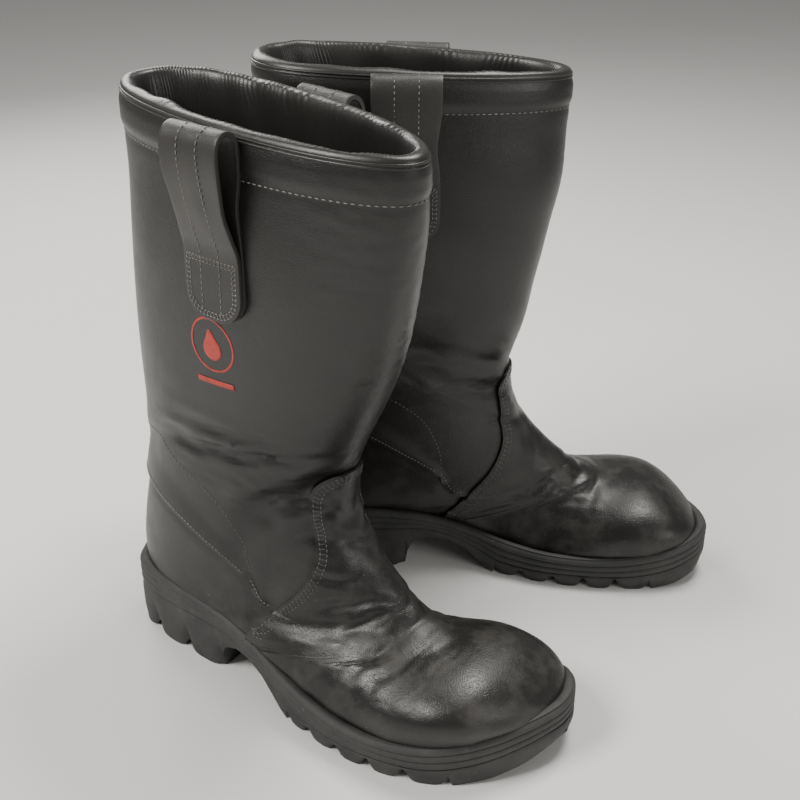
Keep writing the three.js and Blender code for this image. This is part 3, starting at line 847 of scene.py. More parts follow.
class Shader:
    """Builds one material."""

    def __init__(self, name: str) -> None:
        """Makes the material with its main shader.

        Args:
            name: The material's name.
        """
        self.material = bpy.data.materials.new(name)
        self.material.use_nodes = True
        self.tree = self.material.node_tree
        self.main = self.tree.nodes["Principled BSDF"]
        self.place = self.node("ShaderNodeTexCoord", {}, {}, "Object")

    def feed(self, node: bpy.types.Node, values: dict) -> None:
        """Sets a node's inputs to values, or links wires to them."""
        for key, value in values.items():
            if isinstance(value, Wire):
                self.tree.links.new(value.socket, node.inputs[key])
            else:
                node.inputs[key].default_value = value

    def node(self, kind: str, settings: dict, values: dict, output: "str | int" = 0) -> Wire:
        """Adds a node.

        Args:
            kind: The node's type.
            settings: Its properties, set first.
            values: Values or wires for its inputs, by name or number.
            output: The output to hand back.

        Returns:
            The output as a wire.
        """
        made = self.tree.nodes.new(kind)
        for key, value in settings.items():
            setattr(made, key, value)
        self.feed(made, values)
        return Wire(self, made.outputs[output])

    def noise(self, scale: float, detail: float = 4, rough: float = 0.55) -> Wire:
        """Noise on the piece, with scale in waves a metre."""
        values = {"Vector": self.place, "Scale": scale, "Detail": detail, "Roughness": rough}
        return self.node("ShaderNodeTexNoise", {}, values, "Fac")

    def cells(self, scale: float) -> Wire:
        """Distance to the nearest of scattered points."""
        return self.node("ShaderNodeTexVoronoi", {}, {"Vector": self.place, "Scale": scale}, "Distance")

    def height(self) -> Wire:
        """Height above the floor in metres."""
        return self.node("ShaderNodeSeparateXYZ", {}, {"Vector": self.place}, "Z")

    def mix(self, share: Wire, one: "Wire | tuple", two: "Wire | tuple") -> Wire:
        """A colour between two."""
        return self.node("ShaderNodeMix", {"data_type": "RGBA"}, {0: share, 6: one, 7: two}, 2)

    def finish(self, color: Wire, roughness: "Wire | float", height: Wire, depth: float) -> Material:
        """Feeds the main shader.

        Args:
            color: Base colour.
            roughness: Roughness.
            height: Surface height, from 0 to 1.
            depth: What a height of 1 measures, in millimetres.

        Returns:
            The material.
        """
        values = {"Height": height, "Distance": depth * MM, "Strength": 1.0}
        bump = self.node("ShaderNodeBump", {}, values, "Normal")
        self.feed(self.main, {"Base Color": color, "Roughness": roughness, "Normal": bump})
        return self.material


def shade(value: float, warm: float = 0.0) -> tuple[float, float, float, float]:
    """A grey, made a little warmer or cooler."""
    return (value * (1 + warm), value, value * (1 - warm), 1.0)


@dataclass(frozen=True)
class LeatherFinish:
    """Smooth black leather with a soft sheen, fine grain and wear."""

    name: str
    dark: float = 0.006
    light: float = 0.014
    roughness: float = 0.33
    grain: float = 0.17
    wear: float = 1.0

    def make(self) -> Material:
        """Builds the material.

        Returns:
            The material, dusty and specked near the floor.
        """
        sh = Shader(self.name)
        broad, patch, fine = sh.noise(9, 5), sh.noise(55, 6, 0.6), sh.noise(900, 3)
        low = 1 - sh.height().band(0.03, 0.13)
        dust = (low * patch.band(0.45, 0.75)) * self.wear
        color = sh.mix(broad.band(0.35, 0.7), shade(self.dark, 0.04), shade(self.light, 0.1))
        color = sh.mix(dust * 0.55, color, shade(0.075, 0.1))
        specks = (sh.noise(420, 2).band(0.73, 0.77) * low) * self.wear
        color = sh.mix(specks * 0.5, color, shade(0.28, 0.05))
        roughness = patch.band(0.3, 0.8) * 0.1 + (dust * 0.18 + self.roughness)
        pores = sh.cells(1100).band(0.0, 0.55)
        height = pores * 0.45 + (fine * 0.35 + sh.noise(260, 4) * 0.6)
        return sh.finish(color, roughness, height, self.grain)


@dataclass(frozen=True)
class RubberFinish:
    """Matt moulded rubber with dust in its hollows."""

    name: str
    base: float = 0.026
    dusty: float = 0.06

    def make(self) -> Material:
        """Builds the material.

        Returns:
            The material, with pale scuffs.
        """
        sh = Shader(self.name)
        patch = sh.noise(40, 6, 0.65)
        color = sh.mix(patch.band(0.42, 0.75), shade(self.base), shade(self.dusty, 0.07))
        scuff = sh.noise(320, 3).band(0.68, 0.74)
        color = sh.mix(scuff * 0.35, color, shade(0.13, 0.05))
        return sh.finish(color, patch * 0.2 + 0.58, sh.noise(1500, 2) * 0.6 + patch * 0.6, 0.12)


@dataclass(frozen=True)
class ClothFinish:
    """Felted or woven cloth."""

    name: str
    color: tuple[float, float, float] = (0.02, 0.02, 0.019)

    def make(self) -> Material:
        """Builds the material.

        Returns:
            The material, with tangled fibres.
        """
        sh = Shader(self.name)
        values = {"Vector": sh.place, "Scale": 800, "Detail": 6, "Distortion": 1.5}
        fibre = sh.node("ShaderNodeTexNoise", {}, values, "Fac")
        light = tuple(min(1, c * 1.9) for c in self.color) + (1.0,)
        color = sh.mix(fibre.band(0.35, 0.7), self.color + (1.0,), light)
        return sh.finish(color, 0.92, fibre * 0.7 + sh.noise(90) * 0.5, 0.5)


@dataclass(frozen=True)
class ThreadFinish:
    """Waxed sewing thread."""

    name: str
    value: float

    def make(self) -> Material:
        """Builds the material.

        Returns:
            The material, darker where it is worn.
        """
        sh = Shader(self.name)
        worn = sh.noise(30, 4).band(0.35, 0.7)
        color = sh.mix(worn, shade(self.value * 0.55, 0.05), shade(self.value, 0.05))
        return sh.finish(color, 0.7, sh.noise(3000, 2), 0.06)


@dataclass(frozen=True)
class PrintFinish:
    """Red print, a little worn."""

    name: str

    def make(self) -> Material:
        """Builds the material.

        Returns:
            The material.
        """
        sh = Shader(self.name)
        worn = sh.noise(400, 5, 0.7).band(0.5, 0.72)
        color = sh.mix(worn, (0.42, 0.035, 0.022, 1), (0.16, 0.022, 0.016, 1))
        return sh.finish(color, 0.5, sh.noise(900, 3), 0.05)


@dataclass(frozen=True)
class SteelFinish:
    """Pressed steel sheet with fine scratches."""

    name: str

    def make(self) -> Material:
        """Builds the material.

        Returns:
            The material.
        """
        sh = Shader(self.name)
        sh.main.inputs["Metallic"].default_value = 1.0
        mist = sh.noise(60, 5)
        color = sh.mix(mist, (0.42, 0.43, 0.45, 1), (0.6, 0.61, 0.62, 1))
        return sh.finish(color, mist * 0.25 + 0.25, sh.noise(1200, 2), 0.03)


@dataclass(frozen=True)
class FloorFinish:
    """Pale studio floor."""

    name: str

    def make(self) -> Material:
        """Builds the material.

        Returns:
            The material.
        """
        sh = Shader(self.name)
        cloud = sh.noise(3, 3)
        return sh.finish(sh.mix(cloud, shade(0.7, 0.01), shade(0.74, 0.01)), 0.8, cloud, 0.01)


@dataclass
class Finishes:
    """Every material of the pair."""

    leather: Material = field(default_factory=LeatherFinish("upper_leather").make)
    strap: Material = field(
        default_factory=LeatherFinish("strap_leather", 0.018, 0.034, 0.42, 0.16, 0.0).make
    )
    collar: Material = field(
        default_factory=LeatherFinish("collar_leather", 0.01, 0.02, 0.33, 0.1, 0.0).make
    )
    lining: Material = field(default_factory=ClothFinish("lining_felt").make)
    footbed: Material = field(default_factory=ClothFinish("footbed_cloth", (0.05, 0.05, 0.048)).make)
    sole: Material = field(default_factory=RubberFinish("sole_rubber").make)
    midsole: Material = field(default_factory=RubberFinish("midsole_rubber", 0.03, 0.055).make)
    thread: Material = field(default_factory=ThreadFinish("pale_thread", 0.24).make)
    dark_thread: Material = field(default_factory=ThreadFinish("dark_thread", 0.15).make)
    badge: Material = field(default_factory=PrintFinish("red_print").make)
    steel: Material = field(default_factory=SteelFinish("pressed_steel").make)
    board: Material = field(default_factory=ClothFinish("pressed_board", (0.3, 0.25, 0.18)).make)


# ---- the upper ---------------------------------------------------------------------------
@dataclass
class Upper:
    """The leather panels of one boot, their stitches and the printed badge."""

    form: BootForm
    finishes: Finishes
    leather: float = 2.0
    fade: float = 13.0
    tongue: float = 0.4  # rings from the vamp's highest point down to its corner
    flap: float = 1.2  # rings that the shaft runs on under the vamp past its meeting with the quarter
    rest: float = 0.4  # how far the vamp lies outside the form away from its edge
    puff: float = 1.3  # how far the band above the rim's stitches stands out
    dip: float = 1.3  # how far the shaft draws in under the vamp
    sink: float = 0.9  # how far in the quarter lies under the shaft's edge
    tuck: float = 6.0  # how far the quarter runs on under its neighbours
    snap: float = 3.0  # grid points this near to a trimmed edge move onto it
    proud: float = 0.15  # how far a stitch lies outside the leather
    stitch_ring: float = 0.475  # the rim's row of stitches
    quarter_front: float = math.radians(48)
    sole_gap: float = 9.0  # the seam's stitches stop this far over the sole
    print_wall: float = 0.12
    thread: Thread = field(default_factory=Thread)
    faint: Thread = field(default_factory=Thread)

    def __post_init__(self) -> None:
        """Finds the vamp's corner."""
        self.name = self.form.side.value
        self.corner = self.form.vamp_top + self.tongue
        self.corner_angle = float(self.form.seam_angle(self.corner))
        self.rings = np.linspace(0, LAST_RING, 600)
        self.run = distances(self.form.section(self.rings, self.rings * 0))

    def shaft_lift(self, s: Array, angle: Array) -> Array:
        """How far the shaft's bottom edge stands over the heel quarter."""
        gap = (self.form.quarter_ring(angle) - s) * RING_PITCH
        return LAP * (1 - smoothstep(1, self.fade, gap)) * (1 - smoothstep(2, 9, -gap))

    def vamp_edge(self, s: Array) -> Array:
        """Half the angle that the vamp covers on ring s."""
        sole = np.interp(s, self.form.seam_rings, self.form.sole_angles)
        return np.minimum(self.form.seam_angle(s), sole)

    def vamp_place(self, across: Array, down: Array) -> tuple[Array, Array]:
        """Places of the vamp's grid.

        Args:
            across: -1 on the inside edge to 1 on the outside edge.
            down: 0 at the top edge to 1 at the toe.

        Returns:
            Ring numbers and angles.
        """
        start, end = np.interp([self.corner, self.form.vamp_tip], self.rings, self.run)
        edge_ring = np.interp(start + (end - start) * down, self.run, self.rings)
        top_ring = self.form.seam_ring(np.abs(across) * self.corner_angle)
        s = edge_ring - (self.corner - top_ring) * (1 - down) ** 6
        return s, across * self.vamp_edge(edge_ring)

    def inside_seam(self, s: Array, angle: Array) -> tuple[Array, Array]:
        """How far a point lies within the vamp, from its side seams and from its top."""
        side = (self.form.seam_angle(s) - np.abs(angle)) * RADIAN_MM
        return side, (s - self.form.seam_ring(angle)) * RING_PITCH

    def vamp_lift(self, s: Array, angle: Array) -> Array:
        """How far the vamp stands outside the form.

        Args:
            s: Ring numbers.
            angle: Angles.

        Returns:
            Distances, larger near its edge, which laps over the other panels.
        """
        side, top = self.inside_seam(s, angle)
        near = 1 - smoothstep(8, 8 + self.fade, np.minimum(side, top))
        return self.rest + LAP * near + self.shaft_lift(s, angle) * (1 - smoothstep(1, 9, side))

    def build(self) -> list[Piece]:
        """Makes the panels, stitches and badge.

        Returns:
            The pieces.
        """
        made = [self.vamp(), self.shaft(), self.quarter(), self.badge()]
        for face in (1, -1):
            self.vamp_seam(face)
            self.quarter_seam(face)
            self.leg_seam(face)
        angle = np.linspace(0, FULL_TURN, 500)
        ring = angle * 0 + self.stitch_ring
        self.thread.row(self.form.skin(ring, angle, -0.1), self.form.outward(ring, angle), 3.7, 2.7, 0.8)
        made.append(make_piece(f"{self.name}_stitches", self.thread.bm, self.finishes.thread))
        made.append(make_piece(f"{self.name}_faint_stitches", self.faint.bm, self.finishes.dark_thread))
        return made

    def panel(self, node: str, bm: Mesh, inside: float) -> Piece:
        """Finishes a leather panel that stands for a CAD node.

        Args:
            node: The node's name without its side.
            bm: The panel's outer face.
            inside: The height of a point inside the boot behind it.

        Returns:
            The panel.
        """
        face_out(bm, self.form.world(np.array([LEG_MIDDLE, 0, inside])))
        piece = make_piece(f"{self.name}_{node}_leather", bm, self.finishes.leather)
        give_wall(piece, self.leather)
        round_edges(piece, 0.5)
        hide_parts(f"{self.name}_{node}")
        return piece

    def vamp(self) -> Piece:
        """Makes the leather over the toes and instep.

        Returns:
            The panel.
        """

        def place(u: Array, v: Array) -> Array:
            """The grid's points."""
            s, angle = self.vamp_place(2 * u - 1, v)
            return self.form.skin(s, angle, self.vamp_lift(s, angle))

        return self.panel("vamp", grid_mesh(132, 150, place), 60)

    def snapped(self, edge: Callable[[Array], Array], s: Array, angle: Array) -> tuple[Array, Array]:
        """Places moved onto a curve on the leg.

        Args:
            edge: Gives a number for each point, which is 0 on the curve.
            s: Ring numbers of places near the curve.
            angle: Their angles.

        Returns:
            Ring numbers and angles.
        """
        for _ in range(4):
            base, *moved = (self.form.section(s + a, angle + b) for a, b in ((0, 0), (STEP, 0), (0, STEP)))
            gap = edge(base)
            slope_s, slope_a = ((edge(point) - gap) / STEP for point in moved)
            long_s, long_a = (((point - base) ** 2).sum(1) / STEP**2 for point in moved)
            scale = gap / (slope_s**2 / long_s + slope_a**2 / long_a)
            s, angle = s - scale * slope_s / long_s, angle - scale * slope_a / long_a
        return s, angle

    def trimmed(
        self, size: tuple[int, int], angles: tuple[float, float], rings: tuple[float, float],
        edges: Sequence[Callable[[Array], Array]], lift: Place,
    ) -> Mesh:
        """An even grid on the leg, trimmed along curves.

        Args:
            size: Faces round and down the leg.
            angles: The first and last angle.
            rings: The first and last ring.
            edges: Functions of a point that are positive on the part that stays.
            lift: How far the panel stands outside the form, by ring and angle.

        Returns:
            The mesh.
        """
        bm, at = laid_grid(*size)
        angle = angles[0] + at[:, 0] * (angles[1] - angles[0])
        s = rings[0] + at[:, 1] * (rings[1] - rings[0])
        doomed = set()
        for edge in edges:
            over = edge(self.form.section(s, angle))
            out = [f for f in bm.faces if sum(over[v.index] for v in f.verts) < 0]
            doomed.update(out)
            rim = np.array(sorted({v.index for f in out for v in f.verts}))
            rim = rim[np.abs(over[rim]) < self.snap]
            s[rim], angle[rim] = self.snapped(edge, s[rim], angle[rim])
        move_to(bm, self.form.skin(s, angle, lift(s, angle)))
        bmesh.ops.delete(bm, geom=list(doomed), context="FACES")
        bmesh.ops.remove_doubles(bm, verts=bm.verts, dist=1e-6)
        return bm

    def shaft(self) -> Piece:
        """Makes the tall leg: an even tube, trimmed along the heel quarter's top edge.

        Returns:
            The panel.
        """

        def lift(s: Array, angle: Array) -> Array:
            """The lap over the quarter, the band at the rim and the dip under the vamp.

            Args:
                s: Ring numbers.
                angle: Angles.

            Returns:
                How far the shaft stands outside the form.
            """
            puff = smoothstep(0, 0.14, s) * (1 - smoothstep(0.33, self.stitch_ring, s)) * self.puff
            dent = 0.35 * bell(s, self.stitch_ring, 0.05)
            under = self.dip * smoothstep(1, 8, np.minimum(*self.inside_seam(s, angle)))
            return self.shaft_lift(s, angle) + puff - dent - under

        rings = (0.0, self.form.meeting + self.flap)
        tube = self.trimmed((200, 170), (-math.pi, math.pi), rings, [over_quarter], lift)
        return self.panel("shaft", tube, 200)

    def quarter(self) -> Piece:
        """Makes the leather round the heel, which runs on under the panels round it.

        Returns:
            The panel.
        """
        angles = (self.quarter_front, FULL_TURN - self.quarter_front)
        edges = [lambda p: self.tuck - over_quarter(p), over_sole, lambda p: self.tuck - before_vamp(p)]

        def lift(s: Array, angle: Array) -> Array:
            """The quarter lies in a little where the shaft laps over it."""
            return -self.sink * (1 - smoothstep(1, 11, -over_quarter(self.form.section(s, angle))))

        return self.panel("heel_quarter", self.trimmed((150, 110), angles, (4.0, 11.5), edges, lift), 70)

    def seam_rows(
        self, s: Array, angle: Array, gaps: Sequence[float], inward: tuple[float, float]
    ) -> list[tuple[Array, Array]]:
        """Lines beside a seam.

        Args:
            s: The seam's ring numbers.
            angle: Its angles.
            gaps: Distances from the seam in millimetres.
            inward: A ring number and angle change that points into the panel.

        Returns:
            For each gap, the ring numbers and angles of its line.
        """
        base, ps, pa = self.form.slopes(s, angle)
        into = np.cross(self.form.normal(s, angle), unit(np.gradient(base, axis=0)))
        into *= np.sign((into * (ps * inward[0] + pa * inward[1])).sum(1))[:, None]
        e, f, g = (ps * ps).sum(1), (ps * pa).sum(1), (pa * pa).sum(1)
        bs, ba = (into * ps).sum(1), (into * pa).sum(1)
        det = e * g - f * f
        ds, da = (g * bs - f * ba) / det, (e * ba - f * bs) / det
        return [(s + gap * ds, angle + gap * da) for gap in gaps]

    def vamp_seam(self, face: int) -> None:
        """Sews two rows and the cross stitches between them along the vamp's back edge.

        Args:
            face: 1 for the outside of the boot, -1 for the inside.
        """
        form, top, back = self.form, 40, 260
        across = np.concatenate([np.linspace(0.02, 0.98, top), np.ones(back)])
        down = np.concatenate([np.zeros(top), np.linspace(0, 1, back) ** 1.2])
        s, angle = self.vamp_place(across * face, down)
        point = form.section(s, angle)
        on_seam = point[:, 2] > height_on(SMOOTH_TOP, point[:, 0]) + self.sole_gap
        free = np.abs(np.abs(angle) - form.seam_angle(s)) < 0.03
        last = int(np.argmin(on_seam & (free | (np.arange(len(s)) < top + 20)))) or len(s)
        lines = []
        for row in self.seam_rows(s[:last], angle[:last], (2.2, 6.2), (1.0, -2.0 * face)):
            lines.append(form.skin(*row, self.vamp_lift(*row) + self.proud))
            normals = form.outward(*row)
            self.faint.row(lines[-1], normals, 2.9, 2.2, 0.7)
        self.faint.ladder(*lines, normals, 2.9, 0.35)

    def quarter_seam(self, face: int) -> None:
        """Sews the row just above the heel quarter's top edge.

        Args:
            face: 1 for the outside of the boot, -1 for the inside.
        """
        angle = np.linspace(math.radians(176), math.radians(64), 200) * face
        s, angle = self.seam_rows(self.form.quarter_ring(angle), angle, (2.4,), (-1.0, 0.0))[0]
        keep = np.abs(angle) >= self.form.seam_angle(s) + 0.05
        row = (s[keep], angle[keep])
        line = self.form.skin(*row, self.shaft_lift(*row) + self.proud)
        self.thread.row(line, self.form.outward(*row), 2.6, 1.9, 0.7)

    def leg_seam(self, face: int) -> None:
        """Sews the curved row low on the side of the leg.

        Args:
            face: 1 for the outside of the boot, -1 for the inside.
        """
        line = smooth_line(LEG_SEAM, 30)
        row = self.form.on_side(line[:, 0], line[:, 1], face)
        points = self.form.skin(*row, self.shaft_lift(*row) + 0.1)
        self.faint.row(points, self.form.outward(*row), 3.2, 2.2, 0.65)

    def badge(self) -> Piece:
        """Makes a round red print: a ring with a flame in it and a bar below.

        Returns:
            The print.
        """

        def laid(w: Array, up: Array) -> Array:
            """Flat points laid on the outside of the leg."""
            return self.form.skin(*self.form.on_side(self.form.leg_x - 9 + w, 225.0 + up, 1), 0.16)

        def ring(u: Array, v: Array) -> Array:
            """The round border."""
            r, turn = 14.6 + 1.3 * v, u * FULL_TURN
            return laid(r * np.cos(turn), 6 + r * np.sin(turn))

        def flame(u: Array, v: Array) -> Array:
            """A flame with a leaning tip.

            Args:
                u: Shares of the way round.
                v: Shares of the way out.

            Returns:
                Points in metres.
            """
            up, r = np.sin(u * FULL_TURN), 6.6 * v
            tip = np.maximum(0, up) ** 6
            w = r * np.cos(u * FULL_TURN) * (1 - 0.25 * tip) - 1.5 * v * tip
            return laid(w, 3.5 + r * up * (1 + 0.75 * tip))

        def bar(u: Array, v: Array) -> Array:
            """The bar below the ring."""
            return laid((u - 0.5) * 26, -16.5 + (v - 0.5) * 3.2)

        whole = grid_mesh(72, 2, ring)
        for columns, rows, place in ((48, 5, flame), (16, 2, bar)):
            part = bpy.data.meshes.new("print_part")
            extra = grid_mesh(columns, rows, place)
            extra.to_mesh(part)
            extra.free()
            whole.from_mesh(part)
            bpy.data.meshes.remove(part)
        face_out(whole, self.form.world(np.array([LEG_MIDDLE, 0.0, 224.0])))
        piece = make_piece(f"{self.name}_badge_print", whole, self.finishes.badge)
        give_wall(piece, self.print_wall)
        return piece


# ---- the sole ----------------------------------------------------------------------------
@dataclass
class Sole:
    """The moulded outsole and midsole of one boot."""

    form: BootForm
    finishes: Finishes
    stations: int = 150
    notch: float = 8.0
    scallop: float = 2.6
    groove_depth: float = 4.5
    groove_half: float = 3.0
    ridges: int = 3
    ridge_depth: float = 1.3
    edge: float = 0.9  # how far the tread's edge is drawn in
    cores: tuple = (0.0, 0.5, 0.9)  # steps from the middle out to the edge

    def __post_init__(self) -> None:
        """Lays out the stations along the sole and its two sides."""
        self.name = self.form.side.value
        closed = np.array(OUTLINE + OUTLINE[:1], float)
        padded = np.vstack([closed[-2], closed, closed[1]])
        span = 40
        line = catmull(padded, np.linspace(1, len(closed), span * (len(closed) - 1) + 1))
        toe = span * TOE_POINT
        low, high = float(line[:, 0].min()), float(line[toe, 0])
        even = low + (high - low) * (1 - np.cos(np.linspace(0, math.pi, self.stations + 1))) / 2
        edges = [g + d for g in GROOVES for d in (-4, -3, 3, 4)] + [p[0] for p in TREAD[1:10]]
        x = np.unique(np.round(np.concatenate([even, edges]), 3))
        x = x[(x >= low) & (x <= high)]
        y_out, y_in = (np.interp(x, half[:, 0], half[:, 1]) for half in (line[: toe + 1], line[toe:][::-1]))
        middle = (y_out + y_in) / 2
        for end in (0, -1):
            y_out[end] = y_in[end] = middle[end]
        self.loop = np.vstack([np.stack([x, y_out], 1), np.stack([x, y_in], 1)[-2:0:-1]])
        self.spine_y = np.concatenate([middle, middle[-2:0:-1]])
        ahead = unit(np.roll(self.loop, -1, 0) - np.roll(self.loop, 1, 0))
        self.inward = np.stack([ahead[:, 1], -ahead[:, 0]], 1)
        self.inward *= -np.sign(self.inward[len(x) // 2][1])

    def lug_round(self, x: Array) -> Array:
        """How near a place along the sole lies to the gap between two lugs.

        Args:
            x: Distances from the heel.

        Returns:
            1 between two lugs and 0 at a lug's middle.
        """
        edges = np.array(LUG_EDGES, float)
        i = np.clip(np.searchsorted(edges, x) - 1, 0, len(edges) - 2)
        u = np.clip((x - edges[i]) / (edges[i + 1] - edges[i]), 0, 1)
        side = np.where((i == 0) & (u < 0.5), 0, np.abs(2 * u - 1))
        return np.where((x > edges[-1]) | (i == ARCH), 0, side) ** 4

    def tread(self, x: Array) -> Array:
        """The bottom's height along the sole, grooves included."""
        gap = np.min(np.abs(x[:, None] - np.array(GROOVES)[None]), axis=1)
        return height_on(TREAD_LINE, x) + self.groove_depth * (1 - np.clip(gap - self.groove_half, 0, 1))

    def lofted(self, node: str, levels: Sequence[tuple], material: Material) -> Piece:
        """A closed sole piece that stands for a CAD node.

        Args:
            node: The node's name without its side.
            levels: Each holds a share of the way from the middle line to the edge, an inset
                from the edge and a height, as numbers or for each point of the loop.
            material: The rubber.

        Returns:
            The piece.
        """
        middle = np.stack([self.loop[:, 0], self.spine_y], 1)
        rings = []
        for level in levels:
            share, inset, z = (np.broadcast_to(v, self.spine_y.shape)[:, None] for v in level)
            edge = self.loop + self.inward * inset
            rings.append(np.hstack([middle + (edge - middle) * share, z]))
        rings = np.array(rings)
        last, count = len(rings) - 1, len(middle)

        def place(u: Array, v: Array) -> Array:
            """The grid's points, which are the rings' points."""
            around = np.round(u * count).astype(int) % count
            return self.form.world(rings[np.round(v * last).astype(int), around])

        bm = grid_mesh(count, last, place)
        bmesh.ops.dissolve_degenerate(bm, dist=1e-7, edges=bm.edges)
        bmesh.ops.recalc_face_normals(bm, faces=bm.faces)
        piece = make_piece(f"{self.name}_{node}_rubber", bm, material)
        round_edges(piece, 0.5, 38)
        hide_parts(f"{self.name}_{node}")
        return piece

    def outsole(self) -> Piece:
        """Makes the tread with its scalloped lugs, heel step and toe lip.

        Returns:
            The outsole.
        """
        x = self.loop[:, 0]
        parting, lug = height_on(SMOOTH_PARTING, x), self.lug_round(x)
        top, foot = parting - 0.2, height_on(TREAD_LINE, x) + self.notch * lug
        bottom = np.minimum(foot, top - 1.5)
        levels = [(share, 0.0, top) for share in self.cores]
        for w in np.linspace(0, 1, 12):
            inset = self.scallop * lug * smoothstep(0.2, 0.9, w) + self.edge * smoothstep(0.55, 1, w)
            lip = 0.8 * (1 - smoothstep(0, 0.16, w))
            levels.append((1.0, inset + lip, top + (bottom - top) * w))
        for share, blend in ((0.965, 0.55), (0.93, 1.0), (0.75, 1.0), (0.4, 1.0), (0.0, 1.0)):
            z = np.minimum(foot + (self.tread(x) - foot) * blend, parting - 1.2)
            levels.append((share, self.scallop * lug + self.edge, z))
        return self.lofted("outsole", levels, self.finishes.sole)

    def midsole(self) -> Piece:
        """Makes the cup with its contour ridges, up to the lip round the leather.

        Returns:
            The midsole.
        """
        x = self.loop[:, 0]
        low, high = height_on(SMOOTH_PARTING, x) + 0.1, height_on(SMOOTH_TOP, x)
        depth = self.ridge_depth * (0.45 + 0.55 * smoothstep(8, 16, high - low))
        levels = [(share, 0.4, low) for share in self.cores]
        for w in np.linspace(0, 1, 34):
            groove = depth * (1 - abs(math.sin(self.ridges * math.pi * w)) ** 0.45)
            levels.append((1.0, groove + 1.2 * smoothstep(0.8, 1.0, w), low + (high - low - 0.8) * w))
        for inset, drop in ((1.9, 0.25), (3.2, 0.0), (5.0, 0.1), (6.6, 0.9), (8.0, 3.0), (10.0, 8.0)):
            levels.append((1.0, inset, high - drop))
        levels += [(share, 10.0, high - 9.0) for share in (0.4, 0.0)]
        return self.lofted("midsole", levels, self.finishes.midsole)

    def build(self) -> list[Piece]:
        """Makes both pieces.

        Returns:
            The pieces.
        """
        outsole, midsole = self.outsole(), self.midsole()
        return [outsole, midsole]


